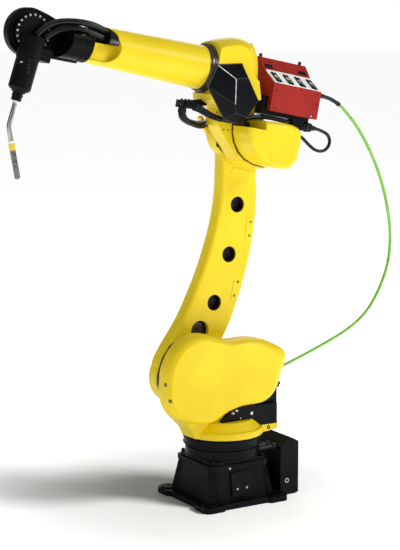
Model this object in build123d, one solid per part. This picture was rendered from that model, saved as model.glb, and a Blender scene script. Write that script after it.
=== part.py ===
from build123d import *
import os
from math import atan, cos, degrees, radians, sin, tan

os.makedirs("parts", exist_ok=True)

# Six-axis arc-welding robot arm, in millimetres, in the pose of the photograph.
# Origin: on the swivel axis, on the floor. +X is the arm's front, +Y its left, +Z up.

# The arm's reach: where the six axes lie
shoulder_height = 450
shoulder_offset = 150
lower_arm_length = 890
elbow_rise = 201
forearm_length = 863
lower_arm_angle = -15
forearm_angle = 11.3
wrist_angle = 82.7

# Running gaps between pieces
seat_gap = 0.3
running_gap = 6
overrun = 5
arc_share = 0.45

# Base casting
plate_size = 352
plate_height = 20
plate_corner_radius = 22
plate_waist = 12
bolt_spacing = 283
bolt_hole_diameter = 18
bolt_pad_diameter = 56
bolt_pad_height = 6
base_foot_size = 262
base_neck_size = 232
base_corner_radius = 24
base_deck_height = 134
deck_flange_size = 250
deck_flange_height = 16
deck_corner_radius = 28
deck_step_size = 232
deck_step_height = 12
ring_radius = 140
ring_lower_radius = 134
ring_band_bottom = 205
ring_top = 236
spigot_radius = 118
ring_groove_depth = 6
ring_groove_height = 8
base_rib_width = 34
base_rib_foot = 186
base_rib_top = 158

# Side access cover and rear connector box
side_cover_width = 84
side_cover_height = 88
side_cover_thickness = 8
side_cover_bottom = 32
box_length = 78
box_width = 236
box_floor_gap = 5
box_back_height = 196
box_ridge_height = 212
box_front_height = 182
box_ridge_inset = 28
box_cover_thickness = 4
box_cover_margin = 14
hose_diameter = 16
hose_spacing = 36
hose_height = 178

# Turntable casting
turntable_radius = 148
turntable_rim_height = 25
turntable_edge_round = 8
turntable_bottom = 242
flare_height = 28
flare_foot_radius = 138
flare_top_radius = 112
web_near = 62
web_far = 30
shoulder_boss_radius = 96
gearbox_radius = 90
gearbox_plate_radius = 100
gearbox_lobe_radius = 70
gearbox_lobe_rise = 62
gearbox_lobe_back = 10
gearbox_face = 40
tail_length = 236
tail_reach = 182
tail_width = 88
tail_far = 38
tail_slope = 14
tail_hole_diameter = 14
tail_hole_back = 150
tail_hole_side = 72

# Shoulder shell, on the near side
shell_near = 128
shell_inner = 62.3
shell_length = 535

# Terminal box, swivel motor and gland behind the web
terminal_back = 195
terminal_length = 83
terminal_height = 144
terminal_near = 62
terminal_far = 20
tray_near = 84
tray_back = 182
swivel_motor_back = 224
swivel_motor_length = 74
swivel_motor_near = 14
swivel_motor_far = 36
swivel_motor_height = 170
swivel_motor_edge = 10
swivel_cap_height = 26
gland_radius = 12
gland_length = 18
gland_side = 42
gland_height = 428

# Lower arm casting
arm_near = 45
arm_thickness = 60
arm_edge_round = 12
shoulder_disc_radius = 100
elbow_disc_radius = 88
arm_hole_diameter = 58
arm_big_hole_diameter = 74
arm_hole_depth = 42
arm_plug_diameter = 58
arm_plug_depth = 20
arm_pad_height = 2
horn_near = 86

# Elbow casing
casing_length = 212
elbow_near = 84
elbow_far = 80
elbow_inner = 39
elbow_gearbox_radius = 84
cover_inner = 36
casing_back = 12
rear_cover_width = 60
seal_width = 15
seal_radius = 84
hex_cover_depth = 38
cover_near = 146
motor_cover_length = 297
cover_round = 18

# Wire feeder
feeder_length = 206
feeder_height = 98
feeder_near = 100
feeder_far = 36
feeder_start = 32
feeder_bottom = 97
feeder_slope_rise = 46
feeder_slope_run = 80
feeder_lid_rise = 44
bracket_thickness = 14
bracket_length = 185
bracket_near = 80
window_panel_length = 200
window_panel_height = 84
window_panel_thickness = 3
window_panel_round = 5
window_width = 20
window_height = 46
window_count = 4
latch_length = 18
latch_width = 10
latch_height = 5
knob_diameter = 12
knob_height = 12
knob_gap = 172
knob_inset = 4

# Forearm
forearm_root_radius = 77
forearm_end_radius = 64
wrist_reach = 191
notch_length = 100
notch_radius = 50
notch_floor = 30
pocket_floor = 8
notch_drop = 3
wrist_sweep_radius = 112
wrist_housing_radius = 64
wrist_housing_top = 18
wrist_rib_radius = 66
wrist_rib_width = 8
wrist_rib_gap = 16
wrist_rib_count = 2
wrist_disc_radius = 81
wrist_arm_near = 42
wrist_arm_thickness = 28

# Wrist unit and torch
unit_radius = 42
unit_back = 14
unit_front = 84
unit_block_length = 40
unit_block_width = 60
unit_block_reach = 66
unit_boss_radius = 54
unit_boss_near = 14
torch_radius = 38
torch_body_length = 113
torch_edge = 8
collar_radius = 17
collar_length = 34
ferrule_radius = 9.5
ferrule_length = 9
neck_radius = 8
neck_straight = 60
neck_bend_radius = 74
neck_bend = 28.5
neck_lead = 28
band_radius = 10.5
band_length = 22
nozzle_radius = 9.5
nozzle_length = 94
nozzle_bore_radius = 6.5
tip_radius = 3.5
tip_reach = 4

# Cords and harness
green_diameter = 11
sleeve_diameter = 14
loop_diameter = 12
conduit_diameter = 22
harness_diameter = 16
harness_loop_diameter = 13
harness_loop_spacing = 15
plug_radius = 16
plug_length = 46
plug_side = 63
socket_length = 44
socket_back = 194
clamp_length = 30
clamp_height = 26
clamp_near = 62
clamp_far = 12
clamp_start = 254
clamp_level = 65
clamp_bracket_width = 14

# Outlines, each point as shares of the length that it follows, along and up from its own start
upright_shares = [(1.0067, 0.0267), (1.1067, 0.2267), (1.46, 0.5867), (1.6, 0.8533), (1.6667, 1.04),
                  (1.6467, 1.22), (1.64, 1.3867), (1.0, 1.9333), (0.4, 1.9733), (-0.2667, 1.8533),
                  (-0.6667, 1.32), (-0.6667, 0.0267)]
shell_shares = [(0.2841, 0.015), (0.271, -0.1028), (0.2318, -0.172), (0.1383, -0.2355), (0.0206, -0.2654),
                (-0.0598, -0.2673), (-0.1458, -0.2318), (-0.2505, -0.1925), (-0.3701, -0.1776),
                (-0.4972, -0.1682), (-0.5757, -0.1121), (-0.6374, 0.0299), (-0.6654, 0.1421),
                (-0.5907, 0.2056), (-0.4486, 0.2617), (-0.3458, 0.2766), (-0.2056, 0.2766),
                (-0.0972, 0.3103), (0.0093, 0.3346), (0.1159, 0.3178), (0.1869, 0.2692), (0.2449, 0.1907),
                (0.2748, 0.1103)]
shell_bulge_shares = [(0, 1.0), (0.45, 1.0), (0.8, 0.965), (1.0, 0.88)]
tray_shares = [(-1.0, 0.0), (0.3297, 0.0), (0.3297, 0.1209), (0.0275, 0.4066), (-1.0, 0.4066)]
front_edge_shares = [(0.1056, -0.0022), (0.1107, 0.027), (0.1101, 0.0472), (0.1034, 0.0742),
                     (0.0916, 0.1112), (0.073, 0.1584), (0.0539, 0.2101), (0.0382, 0.2607), (0.027, 0.3112),
                     (0.0169, 0.3607), (0.0079, 0.4112), (0.0, 0.4674), (-0.0056, 0.5303), (-0.009, 0.5865),
                     (-0.009, 0.6416), (-0.0045, 0.7101), (0.0056, 0.7764), (0.0202, 0.8427),
                     (0.0371, 0.9079), (0.0584, 0.9551)]
rear_edge_shares = [(-0.0944, 0.9933), (-0.1258, 0.9281), (-0.1483, 0.8584), (-0.1663, 0.8034),
                    (-0.1798, 0.7438), (-0.191, 0.6831), (-0.2, 0.6011), (-0.2034, 0.5112), (-0.2, 0.4135),
                    (-0.1921, 0.3292), (-0.182, 0.2562), (-0.1618, 0.1798), (-0.1303, 0.0899),
                    (-0.1067, 0.0112)]
horn_shares = [(0.0225, 0.8989), (0.0416, 0.9191), (0.082, 0.9607), (0.1157, 0.9944), (0.1494, 1.0281),
               (0.1393, 1.0393), (0.1056, 1.0056), (0.0697, 0.973), (0.0112, 0.9438)]
arm_hole_shares = [(-0.0865, 0.727), (-0.1, 0.5236), (-0.082, 0.3202)]
big_hole_share = (-0.044, 0.197)
pad_shares = [
    [(-0.1438, 0.6876), (-0.1775, 0.6933), (-0.1899, 0.6011), (-0.1584, 0.5899)],
    [(-0.1506, 0.4247), (-0.1888, 0.4247), (-0.1865, 0.3438), (-0.1562, 0.3416)],
    [(-0.0157, 0.8404), (-0.0292, 0.8674), (-0.1438, 0.8719), (-0.1371, 0.8494)],
]
casing_front_share = 0.93
casing_low_shares = [(0.9292, 0.5566), (0.9764, 0.533), (0.9481, 0.4387), (0.8066, 0.3679),
                     (0.6509, 0.3302), (0.6604, 0.1792), (0.5943, 0.0566), (0.4481, -0.0896),
                     (0.2972, -0.2358), (0.1934, -0.3396), (0.1038, -0.4528), (-0.0566, -0.5142),
                     (-0.283, -0.5236), (-0.4717, -0.4906), (-0.6509, -0.4151), (-0.7358, -0.2123),
                     (-0.7453, 0.1415), (-0.6604, 0.2642), (-0.283, 0.2925), (-0.1038, 0.3113),
                     (-0.0566, 0.3774), (-0.0566, 0.6604), (0.283, 0.7547), (0.9292, 0.7547)]
casing_side_shares = [(0.9292, 0.5566), (0.9764, 0.533), (0.9481, 0.4387), (0.8066, 0.3679),
                      (0.6509, 0.3302), (0.4717, 0.3396), (0.283, 0.3774), (0.0943, 0.5755), (0.0, 0.6038),
                      (0.0943, 0.8962), (0.4717, 1.0943), (0.8962, 1.0), (0.9292, 0.7547)]
dome_shares = [(0.9292, 1.3962), (0.8255, 1.4481), (0.5896, 1.5236), (0.4623, 1.5425), (0.3113, 1.5236),
               (0.2123, 1.4811), (0.1274, 1.3868), (0.066, 1.2736), (0.0236, 1.1085), (-0.0094, 0.8962),
               (-0.0094, 0.7075), (0.0472, 0.6038)]
dome_section_shares = [(-0.95, 0.70), (-0.72, 0.86), (-0.36, 0.975), (0, 1.0), (0.36, 0.985), (0.72, 0.90),
                       (1.0, 0.76)]
dome_rear_share = 0.2
dome_bottom_share = 0.665
rear_cover_scale_shares = (1.0052, 1.026)
hex_shares = [(0.953, 1.019), (0.495, 1.118), (0.075, 0.575), (0.316, 0.146), (0.66, 0.179), (1.08, 0.642)]
hex_top_shares = [(0.667, 0.84), (0.44, 0.90), (0.17, 0.57), (0.34, 0.27), (0.56, 0.30), (0.60, 0.44)]
motor_cover_shares = [(0.229, 0.0976), (0.2189, 0.0034), (0.1717, -0.1077), (0.0943, -0.2054),
                      (0.0, -0.2761), (-0.1414, -0.3232), (-0.2896, -0.3333), (-0.4444, -0.3098),
                      (-0.532, -0.202), (-0.5455, -0.0067), (-0.5253, 0.1347), (-0.4714, 0.1852),
                      (-0.3704, 0.2054), (-0.2458, 0.2088), (-0.0337, 0.1919), (0.0774, 0.1684)]
clamp_bracket_shares = [(0.8075, 0.366), (0.9491, 0.4368), (1.1967, 0.3821), (1.1967, 0.2783),
                        (1.0, 0.3019)]
notch_pocket_shares = [(-0.9, 0.07), (-0.9, 0.26), (-0.88, 0.39), (-0.82, 0.5), (-0.7, 0.59), (-0.57, 0.65),
                       (-0.2, 0.84), (0.2, 0.84), (0.2, 0.07)]
boot_shares = [(-0.897, 0.073), (-0.897, 0.26), (-0.877, 0.388), (-0.818, 0.496), (-0.699, 0.586),
               (-0.665, 0.602), (-0.523, 0.073)]
neck_shares = [(0.0, -0.08), (0.0, 0.0649), (0.0869, 0.0649), (0.1182, 0.0695), (0.1506, 0.08),
               (0.1889, 0.0892), (0.2155, 0.0915), (0.2155, -0.0939), (0.1738, -0.0834), (0.1367, -0.0811)]

# Cord routes, points chosen by hand along the real cords. Those of the sleeve, the loop and the harness
# are in the elbow's frame, as shares of the feeder's length. The wrist conduits' start from the wrist's
# axis, in the forearm's frame. The green conduit's run from its start to its end, along and across.
sleeve_route_shares = [(-1.1568, 0.3786, 0.8981), (-1.3107, 0.3786, 0.8981), (-1.4854, 0.3786, 0.8762),
                       (-1.6544, 0.3786, 0.8117)]
loop_route_shares = [(-1.1665, 0.3058, 0.3252), (-1.301, 0.3107, 0.3301), (-1.4515, 0.3155, 0.301),
                     (-1.5388, 0.3252, 0.2767), (-1.6019, 0.3301, 0.2136), (-1.6262, 0.335, 0.1262),
                     (-1.6019, 0.3301, 0.0388), (-1.5388, 0.3252, -0.0243), (-1.4515, 0.3155, -0.0485),
                     (-1.3495, 0.3083, -0.0388), (-1.2573, 0.301, 0.0049), (-1.1699, 0.2913, 0.0583),
                     (-1.0825, 0.2864, 0.1165), (-0.9951, 0.2816, 0.1553), (-0.8932, 0.2816, 0.1748),
                     (-0.767, 0.2816, 0.1748)]
harness_route_shares = [(1.2282, 0.2573, 0.3034), (1.1311, 0.2621, 0.2961), (0.9854, 0.2864, 0.2354),
                        (0.7961, 0.301, 0.1845), (0.534, 0.3058, 0.165), (0.3398, 0.3058, 0.2039),
                        (0.1456, 0.3058, 0.2816), (-0.0485, 0.3058, 0.3398), (-0.2913, 0.3058, 0.3617),
                        (-0.5097, 0.3058, 0.3544), (-0.7267, 0.3058, 0.3495)]
harness_loop_route_shares = [
    [(1.3398, 0.0583, 0.251), (1.335, 0.0534, 0.165), (1.2767, 0.034, 0.0874), (1.1748, 0.0097, 0.0534),
     (1.0485, -0.0243, 0.0485), (0.9223, -0.0728, 0.0485), (0.801, -0.1408, 0.0631),
     (0.6893, -0.2136, 0.0874), (0.6019, -0.2913, 0.1068), (0.5583, -0.3495, 0.1165),
     (0.5461, -0.4097, 0.1189)],
    [(1.335, 0.1602, 0.251), (1.3277, 0.1553, 0.1602), (1.2621, 0.1262, 0.0825), (1.1505, 0.0874, 0.0388),
     (1.0146, 0.0437, 0.0146), (0.8835, -0.0097, 0.0), (0.767, -0.0922, 0.0146), (0.6505, -0.1845, 0.0388),
     (0.5583, -0.2718, 0.0534), (0.5146, -0.3374, 0.0607), (0.5, -0.4097, 0.0631)],
]
green_route_shares = [(0.0, 0.0), (0.0025, 0.0104), (0.0399, 0.0884), (0.0947, 0.1657), (0.1623, 0.2412),
                      (0.2409, 0.3081), (0.3242, 0.3618), (0.3846, 0.3903), (0.455, 0.411),
                      (0.5261, 0.4144), (0.6084, 0.4028), (0.6788, 0.3771), (0.7478, 0.3225),
                      (0.8142, 0.2443), (0.8656, 0.1802), (0.9174, 0.1126), (0.9444, 0.0771),
                      (0.9733, 0.0459), (0.9909, 0.0252), (1.0, 0.0)]
conduit_route_shares = [
    [(-1.3288, 0.0838, 0.2581), (-1.1571, 0.0942, 0.3063), (-1.0, 0.0995, 0.3272),
     (-0.8377, 0.0995, 0.3298), (-0.6178, 0.089, 0.3115), (-0.3874, 0.0628, 0.2618),
     (-0.2304, 0.0419, 0.1832), (-0.1047, 0.0262, 0.0733), (-0.0225, 0.0215, -0.0414)],
    [(-1.2921, 0.0969, 0.1361), (-1.1257, 0.1047, 0.1754), (-0.9424, 0.1047, 0.1937),
     (-0.7592, 0.0995, 0.199), (-0.5864, 0.0838, 0.178), (-0.4293, 0.0576, 0.1257),
     (-0.2932, 0.0366, 0.0366), (-0.1822, 0.0215, -0.0691)],
]


def place(origin, turn):
    """A link's own frame, turned about the cross axis."""
    return Location(origin) * Rot(0, turn, 0)


shoulder_point = (shoulder_offset, 0, shoulder_height)
lower_arm_frame = place(shoulder_point, lower_arm_angle)
elbow_point = (lower_arm_frame * Pos(0, 0, lower_arm_length)).position
elbow_frame = place(elbow_point, -forearm_angle)
forearm_frame = elbow_frame * Pos(0, 0, elbow_rise)
wrist_point = (forearm_frame * Pos(forearm_length, 0, 0)).position
wrist_frame = place(wrist_point, wrist_angle - forearm_angle)
forearm_tube_start = casing_length * casing_front_share + seal_width
forearm_tube_end = forearm_length - wrist_reach


def scaled(shares, size):
    """Outline points from shares of one size."""
    return [(across * size, up * size) for across, up in shares]


def side_face(wire, near):
    """A face from an outline drawn in side view, lying at the given distance to the left."""
    return Plane.XZ.offset(-near) * make_face(wire)


def side_solid(wire, near, far):
    """A plate from an outline drawn in side view, between two distances to the left."""
    return extrude(side_face(wire, near), amount=near - far)


def side_plate(shares, size, near, far):
    """A plate with straight edges, from outline shares."""
    return side_solid(Polyline(*scaled(shares, size), close=True), near, far)


def side_disc(radius, near, far, x=0, z=0):
    """A round plate or boss on a cross axis."""
    return extrude(Plane.XZ.offset(-near) * Pos(x, z) * Circle(radius), amount=near - far)


def along_tube(radius, start, end):
    """A round bar along the local X axis."""
    return extrude(Plane.YZ.offset(start) * Circle(radius), amount=end - start)


def upright(outline, bottom, top):
    """A flat outline raised between two heights."""
    return extrude(Pos(0, 0, bottom) * outline, amount=top - bottom)


def block(x_low, x_high, y_low, y_high, z_low, z_high):
    """A box between two corners."""
    centre = ((x_low + x_high) / 2, (y_low + y_high) / 2, (z_low + z_high) / 2)
    return Location(centre) * Box(x_high - x_low, y_high - y_low, z_high - z_low)


def cord_path(points):
    """Straight runs joined by the largest arcs that the shorter run at each corner allows."""
    places = [Vector(*point) for point in points]
    radii = []
    for before, corner, after in zip(places, places[1:], places[2:]):
        shorter = min((corner - before).length, (after - corner).length)
        turn = (corner - before).get_angle(after - corner)
        radii.append(arc_share * shorter / tan(radians(turn / 2)))
    print("cord radii", [round(radius) for radius in radii])
    return FilletPolyline(*places, radius=radii)


def cord_tube(points, diameter):
    """A plain tube along a cord's route."""
    path = cord_path(points)
    section = Plane(origin=path @ 0, z_dir=path % 0) * Circle(diameter / 2)
    return sweep(section, path=path)


def cord_on(frame, shares, size, diameter):
    """A cord whose route is given in a link's own frame."""
    points = [(x * size, y * size, z * size) for x, y, z in shares]
    return frame * cord_tube(points, diameter)


def between(start, end, shares):
    """A route from one point to another: shares along the way, and across it."""
    along = end - start
    across = Vector(along.Z, 0, -along.X)
    return [start + along * way + across * off for way, off in shares]


def base_casting():
    """Square plate with bolt pads, sloped body, stepped deck and swivel ring."""
    plate = extrude(RectangleRounded(plate_size, plate_size, plate_corner_radius), amount=plate_height)
    waist = plate_size - 2 * bolt_pad_diameter - 2 * plate_corner_radius
    for quarter in range(4):
        relief = Pos(plate_size / 2, 0) * RectangleRounded(2 * plate_waist, waist, plate_waist - seat_gap)
        plate -= extrude(Rot(0, 0, 90 * quarter) * relief, amount=plate_height)
    foot = Pos(0, 0, plate_height) * RectangleRounded(base_foot_size, base_foot_size, base_corner_radius)
    neck = Pos(0, 0, base_deck_height) * RectangleRounded(base_neck_size, base_neck_size, base_corner_radius)
    casting = plate + loft([foot, neck])
    flange_top = base_deck_height + deck_flange_height
    deck = RectangleRounded(deck_flange_size, deck_flange_size, deck_corner_radius)
    casting += upright(deck, base_deck_height, flange_top)
    ring_bottom = flange_top + deck_step_height
    step = RectangleRounded(deck_step_size, deck_step_size, deck_corner_radius)
    casting += upright(step, flange_top, ring_bottom)
    casting += upright(Circle(ring_lower_radius), ring_bottom, ring_band_bottom)
    casting += upright(Circle(ring_radius), ring_band_bottom, ring_top)
    casting += upright(Circle(spigot_radius), ring_bottom, turntable_bottom - seat_gap)
    pad_reach = bolt_spacing / 2
    for x_side in (-1, 1):
        for y_side in (-1, 1):
            pad = Pos(x_side * pad_reach, y_side * pad_reach) * Circle(bolt_pad_diameter / 2)
            casting += upright(pad, plate_height, plate_height + bolt_pad_height)
    rib_wire = Polyline((0, plate_height), (base_rib_foot, plate_height), (base_rib_top, base_deck_height),
                        (0, base_deck_height), close=True)
    rib = side_solid(rib_wire, base_rib_width / 2, -base_rib_width / 2)
    for quarter in range(4):
        casting += Rot(0, 0, 45 + 90 * quarter) * rib
    for x_side in (-1, 1):
        for y_side in (-1, 1):
            hole = Pos(x_side * pad_reach, y_side * pad_reach) * Circle(bolt_hole_diameter / 2)
            casting -= upright(hole, -overrun, base_deck_height / 2)
    groove = Circle(ring_radius + overrun) - Circle(ring_lower_radius - ring_groove_depth)
    casting -= upright(groove, ring_band_bottom - ring_groove_height, ring_band_bottom)
    return casting


def side_cover():
    """Access cover on the near side of the base, seated on the sloped wall."""
    slope = degrees(atan((base_foot_size - base_neck_size) / 2 / (base_deck_height - plate_height)))
    frame = Location((0, base_foot_size / 2, plate_height)) * Rot(slope, 0, 0)
    lift = (side_cover_bottom - plate_height) + side_cover_height / 2
    panel = RectangleRounded(side_cover_width, side_cover_height, side_cover_thickness)
    plate = extrude(Plane.XZ.offset(-seat_gap - side_cover_thickness) * Pos(0, lift) * panel,
                    amount=side_cover_thickness)
    return frame * plate


def connector_box():
    """Box behind the base with a ridged top."""
    front = -plate_size / 2 - seat_gap
    back = front - box_length
    wire = Polyline((front, box_floor_gap), (back, box_floor_gap), (back, box_back_height),
                    (back + box_ridge_inset, box_ridge_height), (front, box_front_height), close=True)
    return side_solid(wire, box_width / 2, -box_width / 2)


def connector_cover():
    """Lid plate on the back of the connector box."""
    back = -plate_size / 2 - seat_gap - box_length - seat_gap
    width = box_width - 2 * box_cover_margin
    height = box_back_height - box_floor_gap - 2 * box_cover_margin
    centre_height = (box_back_height + box_floor_gap) / 2
    face = Plane.YZ.offset(back) * Pos(0, centre_height) * RectangleRounded(width, height, box_cover_margin)
    return extrude(face, amount=-box_cover_thickness)


def base_hoses():
    """Two short hoses from the connector box to the swivel ring."""
    front = -plate_size / 2
    ring_clear = upright(Circle(ring_lower_radius + seat_gap), base_deck_height, ring_band_bottom)
    hoses = []
    for side in (-1, 1):
        place_y = box_width / 4 + side * hose_spacing / 2
        hose = Pos(0, place_y, hose_height) * along_tube(hose_diameter / 2, front, -spigot_radius / 2)
        hoses.append((hose - ring_clear).solids().sort_by(Axis.X)[0])
    return Compound(children=hoses)


def tail():
    """Tail of the turntable under the terminal box: longer on the far side, thinner to the rear."""
    top = turntable_bottom + turntable_rim_height
    plan = Polyline((0, -tail_far), (-tail_length, -tail_far), (-tail_length, 0), (-tail_reach, tail_width),
                    (0, tail_width), close=True)
    side = Polyline((0, turntable_bottom), (-tail_hole_back + tail_slope, turntable_bottom),
                    (-tail_length, turntable_bottom + tail_slope), (-tail_length, top), (0, top), close=True)
    return upright(make_face(plan), turntable_bottom, top) & side_solid(side, tail_width, -tail_far)


def turntable_flare(gap):
    """The flare on the turntable's rim, or the room that it needs."""
    foot = turntable_bottom + turntable_rim_height
    top = foot + flare_height
    flare = loft([Pos(0, 0, foot) * Circle(flare_foot_radius + gap),
                  Pos(0, 0, top) * Circle(flare_top_radius + gap)])
    if gap > 0:
        flare += upright(Circle(flare_top_radius + gap), top, top + gap)
    return flare


def turntable_casting():
    """Round rim with its flare, upright web to the shoulder and the tail."""
    rim_top = turntable_bottom + turntable_rim_height
    rim = upright(Circle(turntable_radius), turntable_bottom, rim_top)
    rim = fillet(rim.edges().group_by(Axis.Z)[-1], turntable_edge_round)
    web = Pos(0, 0, turntable_bottom) * side_plate(upright_shares, shoulder_offset, web_near, -web_far)
    boss = side_disc(shoulder_boss_radius, web_near, -web_far, shoulder_offset, shoulder_height)
    far_trim = block(-turntable_radius, turntable_radius, -turntable_radius, -tail_far, rim_top,
                     rim_top + flare_height)
    casting = rim + (turntable_flare(0) - far_trim) + web + boss + tail()
    hole = Pos(-tail_hole_back, tail_hole_side) * Circle(tail_hole_diameter / 2)
    return casting - upright(hole, turntable_bottom - overrun, rim_top + overrun)


def shoulder_gearbox():
    """Dark gearbox plate between the turntable and the lower arm."""
    round_edge = Circle(gearbox_plate_radius).edge()
    lobe_edge = (Pos(-gearbox_lobe_back, gearbox_lobe_rise) * Circle(gearbox_lobe_radius)).edge()
    outline = make_hull([round_edge, lobe_edge])
    plate = extrude(Plane.XZ.offset(web_far + seat_gap) * outline, amount=gearbox_face - web_far - seat_gap)
    disc = side_disc(gearbox_radius, -gearbox_face, -arm_near + seat_gap)
    return Pos(shoulder_offset, 0, shoulder_height) * (plate + disc)


def shoulder_shell():
    """The big rounded cover over the shoulder motor."""
    depth = shell_near - shell_inner
    sections = []
    for depth_share, size_share in shell_bulge_shares:
        points = scaled(shell_shares, shell_length * size_share)
        wire = Spline(*points, periodic=True)
        sections.append(side_face(wire, shell_inner + depth * depth_share))
    return Pos(shoulder_offset, 0, shoulder_height) * loft(sections)


def terminal_box():
    """Black terminal box on the tail, with its connector tray under the shell."""
    bottom = turntable_bottom + turntable_rim_height + seat_gap
    box = block(-terminal_back, -terminal_back + terminal_length, terminal_far, terminal_near, bottom,
                bottom + terminal_height)
    tray = Pos(0, 0, bottom) * side_plate(tray_shares, tray_back, tray_near, web_near + seat_gap)
    link = block(-tray_back, -terminal_back + terminal_length, terminal_near, web_near + seat_gap, bottom,
                 bottom + flare_height)
    return box + link + tray - turntable_flare(seat_gap)


def swivel_motor():
    """Motor that turns the swivel axis, upright on the tail."""
    bottom = turntable_bottom + turntable_rim_height + seat_gap
    top = bottom + swivel_motor_height
    front = -swivel_motor_back + swivel_motor_length
    shoulder = top - swivel_cap_height
    body = block(-swivel_motor_back, front, -swivel_motor_far, swivel_motor_near, bottom, shoulder)
    body = chamfer(body.edges().filter_by(Axis.Z), swivel_motor_edge)
    cap = block(-swivel_motor_back + swivel_motor_edge, front - swivel_motor_edge,
                -swivel_motor_far + swivel_motor_edge, swivel_motor_near - swivel_motor_edge,
                shoulder, top)
    return body + cap


def conduit_gland():
    """Gland behind the shell, where the green conduit ends on the web."""
    face = -upright_back()
    return Pos(0, gland_side, gland_height) * along_tube(gland_radius, face - gland_length, face - seat_gap)


def upright_back():
    """How far back the upright web reaches."""
    return -shoulder_offset * upright_shares[-1][0]


def lower_arm():
    """Banana-shaped casting from the shoulder to the elbow, with round recesses, pads and a horn."""
    front_line = Spline(*scaled(front_edge_shares, lower_arm_length))
    rear_line = Spline(*scaled(rear_edge_shares, lower_arm_length))
    head = Line(front_line @ 1, rear_line @ 0)
    foot = Line(rear_line @ 1, front_line @ 0)
    far = -arm_near - arm_thickness
    web = side_solid(Wire([front_line.edge(), head.edge(), rear_line.edge(), foot.edge()]), -arm_near, far)
    ends = [side_disc(shoulder_disc_radius, -arm_near, far),
            side_disc(elbow_disc_radius, -arm_near, far, 0, lower_arm_length)]
    casting = fillet(web.edges().sort_by(SortBy.LENGTH)[-4:], arm_edge_round)
    for end in ends:
        casting += fillet(end.faces().filter_by(Axis.Y).edges(), arm_edge_round)
    casting += side_plate(horn_shares, lower_arm_length, -horn_near, far)
    for shares in pad_shares:
        casting += side_plate(shares, lower_arm_length, -arm_near + arm_pad_height, far)
    floor = -arm_near - arm_hole_depth
    top = -arm_near + overrun
    for x, z in scaled(arm_hole_shares, lower_arm_length):
        casting -= side_disc(arm_hole_diameter / 2, top, floor, x, z)
    big_x, big_z = scaled([big_hole_share], lower_arm_length)[0]
    casting -= side_disc(arm_big_hole_diameter / 2, top, floor, big_x, big_z)
    return lower_arm_frame * casting


def arm_plug():
    """Dark round plug in the lowest opening of the lower arm."""
    x, z = scaled([big_hole_share], lower_arm_length)[0]
    floor = -arm_near - arm_hole_depth + seat_gap
    return lower_arm_frame * side_disc(arm_plug_diameter / 2, floor + arm_plug_depth, floor, x, z)


def elbow_gearbox():
    """Round gearbox end between the lower arm and the elbow casing."""
    return elbow_frame * side_disc(elbow_gearbox_radius, -elbow_inner - seat_gap, -arm_near + seat_gap)


def dome_face(share, near):
    """One section of the casing's dome."""
    centre = (casing_length * casing_front_share * (1 - share), elbow_rise * (1 - share))
    points = [(x * share + centre[0], z * share + centre[1]) for x, z in scaled(dome_shares, casing_length)]
    corner = (points[0][0], points[-1][1])
    curve = Spline(*points)
    wire = Wire([curve.edge(), Line(points[-1], corner).edge(), Line(corner, points[0]).edge()])
    return side_face(wire, near)


def elbow_casing():
    """Yellow casing with the domed top that carries the forearm."""
    dome = loft([dome_face(share, near * elbow_near) for near, share in dome_section_shares])
    low = side_plate(casing_low_shares, casing_length, cover_inner, -elbow_inner)
    side = side_plate(casing_side_shares, casing_length, elbow_near, -elbow_inner)
    return elbow_frame * (dome + low + side)


def elbow_rear_cover():
    """Thin cover on the rear of the dome, behind its seam."""
    inner = dome_face(rear_cover_scale_shares[0], rear_cover_width / 2)
    outer = dome_face(rear_cover_scale_shares[1], rear_cover_width / 2)
    ring = extrude(outer, amount=rear_cover_width) - extrude(inner, amount=rear_cover_width)
    keep = block(-casing_length, casing_length * dome_rear_share, -elbow_near, elbow_near,
                 casing_length * dome_bottom_share + window_panel_thickness, 2 * casing_length)
    return elbow_frame * (ring & keep)


def forearm_seal():
    """Dark ring where the forearm turns in the elbow casing."""
    start = casing_length * casing_front_share + seat_gap
    return forearm_frame * along_tube(seal_radius, start, forearm_tube_start - seat_gap)


def faceted_cover():
    """Black faceted cover on the near side of the elbow."""
    base_points = scaled(hex_shares, casing_length)
    top_points = scaled(hex_top_shares, casing_length)
    base_face = side_face(Polyline(*base_points, close=True), elbow_near + seat_gap)
    top_face = side_face(Polyline(*top_points, close=True), elbow_near + hex_cover_depth)
    return elbow_frame * loft([base_face, top_face], ruled=True)


def elbow_motor_cover():
    """Yellow bucket-like cover over the elbow motor."""
    wire = Polyline(*scaled(motor_cover_shares, motor_cover_length), close=True)
    cover = side_solid(wire, cover_near, cover_inner + seat_gap)
    cover = fillet(cover.faces().sort_by(Axis.Y)[-1].edges(), cover_round)
    trim = block(0, motor_cover_length, 0, 2 * cover_near, hex_shares[3][1] * casing_length - running_gap,
                 casing_length)
    return elbow_frame * (cover - trim)


def feeder_housing():
    """Red sheet-metal housing of the wire feeder."""
    shoulder = feeder_bottom + feeder_height
    lid_foot = shoulder + feeder_slope_rise
    section = Polyline((feeder_near, feeder_bottom), (feeder_near, shoulder),
                       (feeder_near - feeder_slope_run, lid_foot),
                       (-feeder_far + knob_diameter, lid_foot + feeder_lid_rise),
                       (-feeder_far, lid_foot + feeder_lid_rise), (-feeder_far, feeder_bottom), close=True)
    housing = extrude(Plane.YZ.offset(-feeder_start) * make_face(section), amount=-feeder_length)
    return elbow_frame * housing


def slope_frame(run, rise, near, height):
    """Frame on a slanted face of the feeder: X along the feeder, Y up the slope."""
    foot = (-feeder_start - feeder_length / 2, near, height)
    slope = Plane(origin=foot, x_dir=(-1, 0, 0), z_dir=(0, rise, run))
    return elbow_frame * slope.location


def window_frame():
    """Frame of the slanted window face."""
    return slope_frame(feeder_slope_run, feeder_slope_rise, feeder_near, feeder_bottom + feeder_height)


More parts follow.
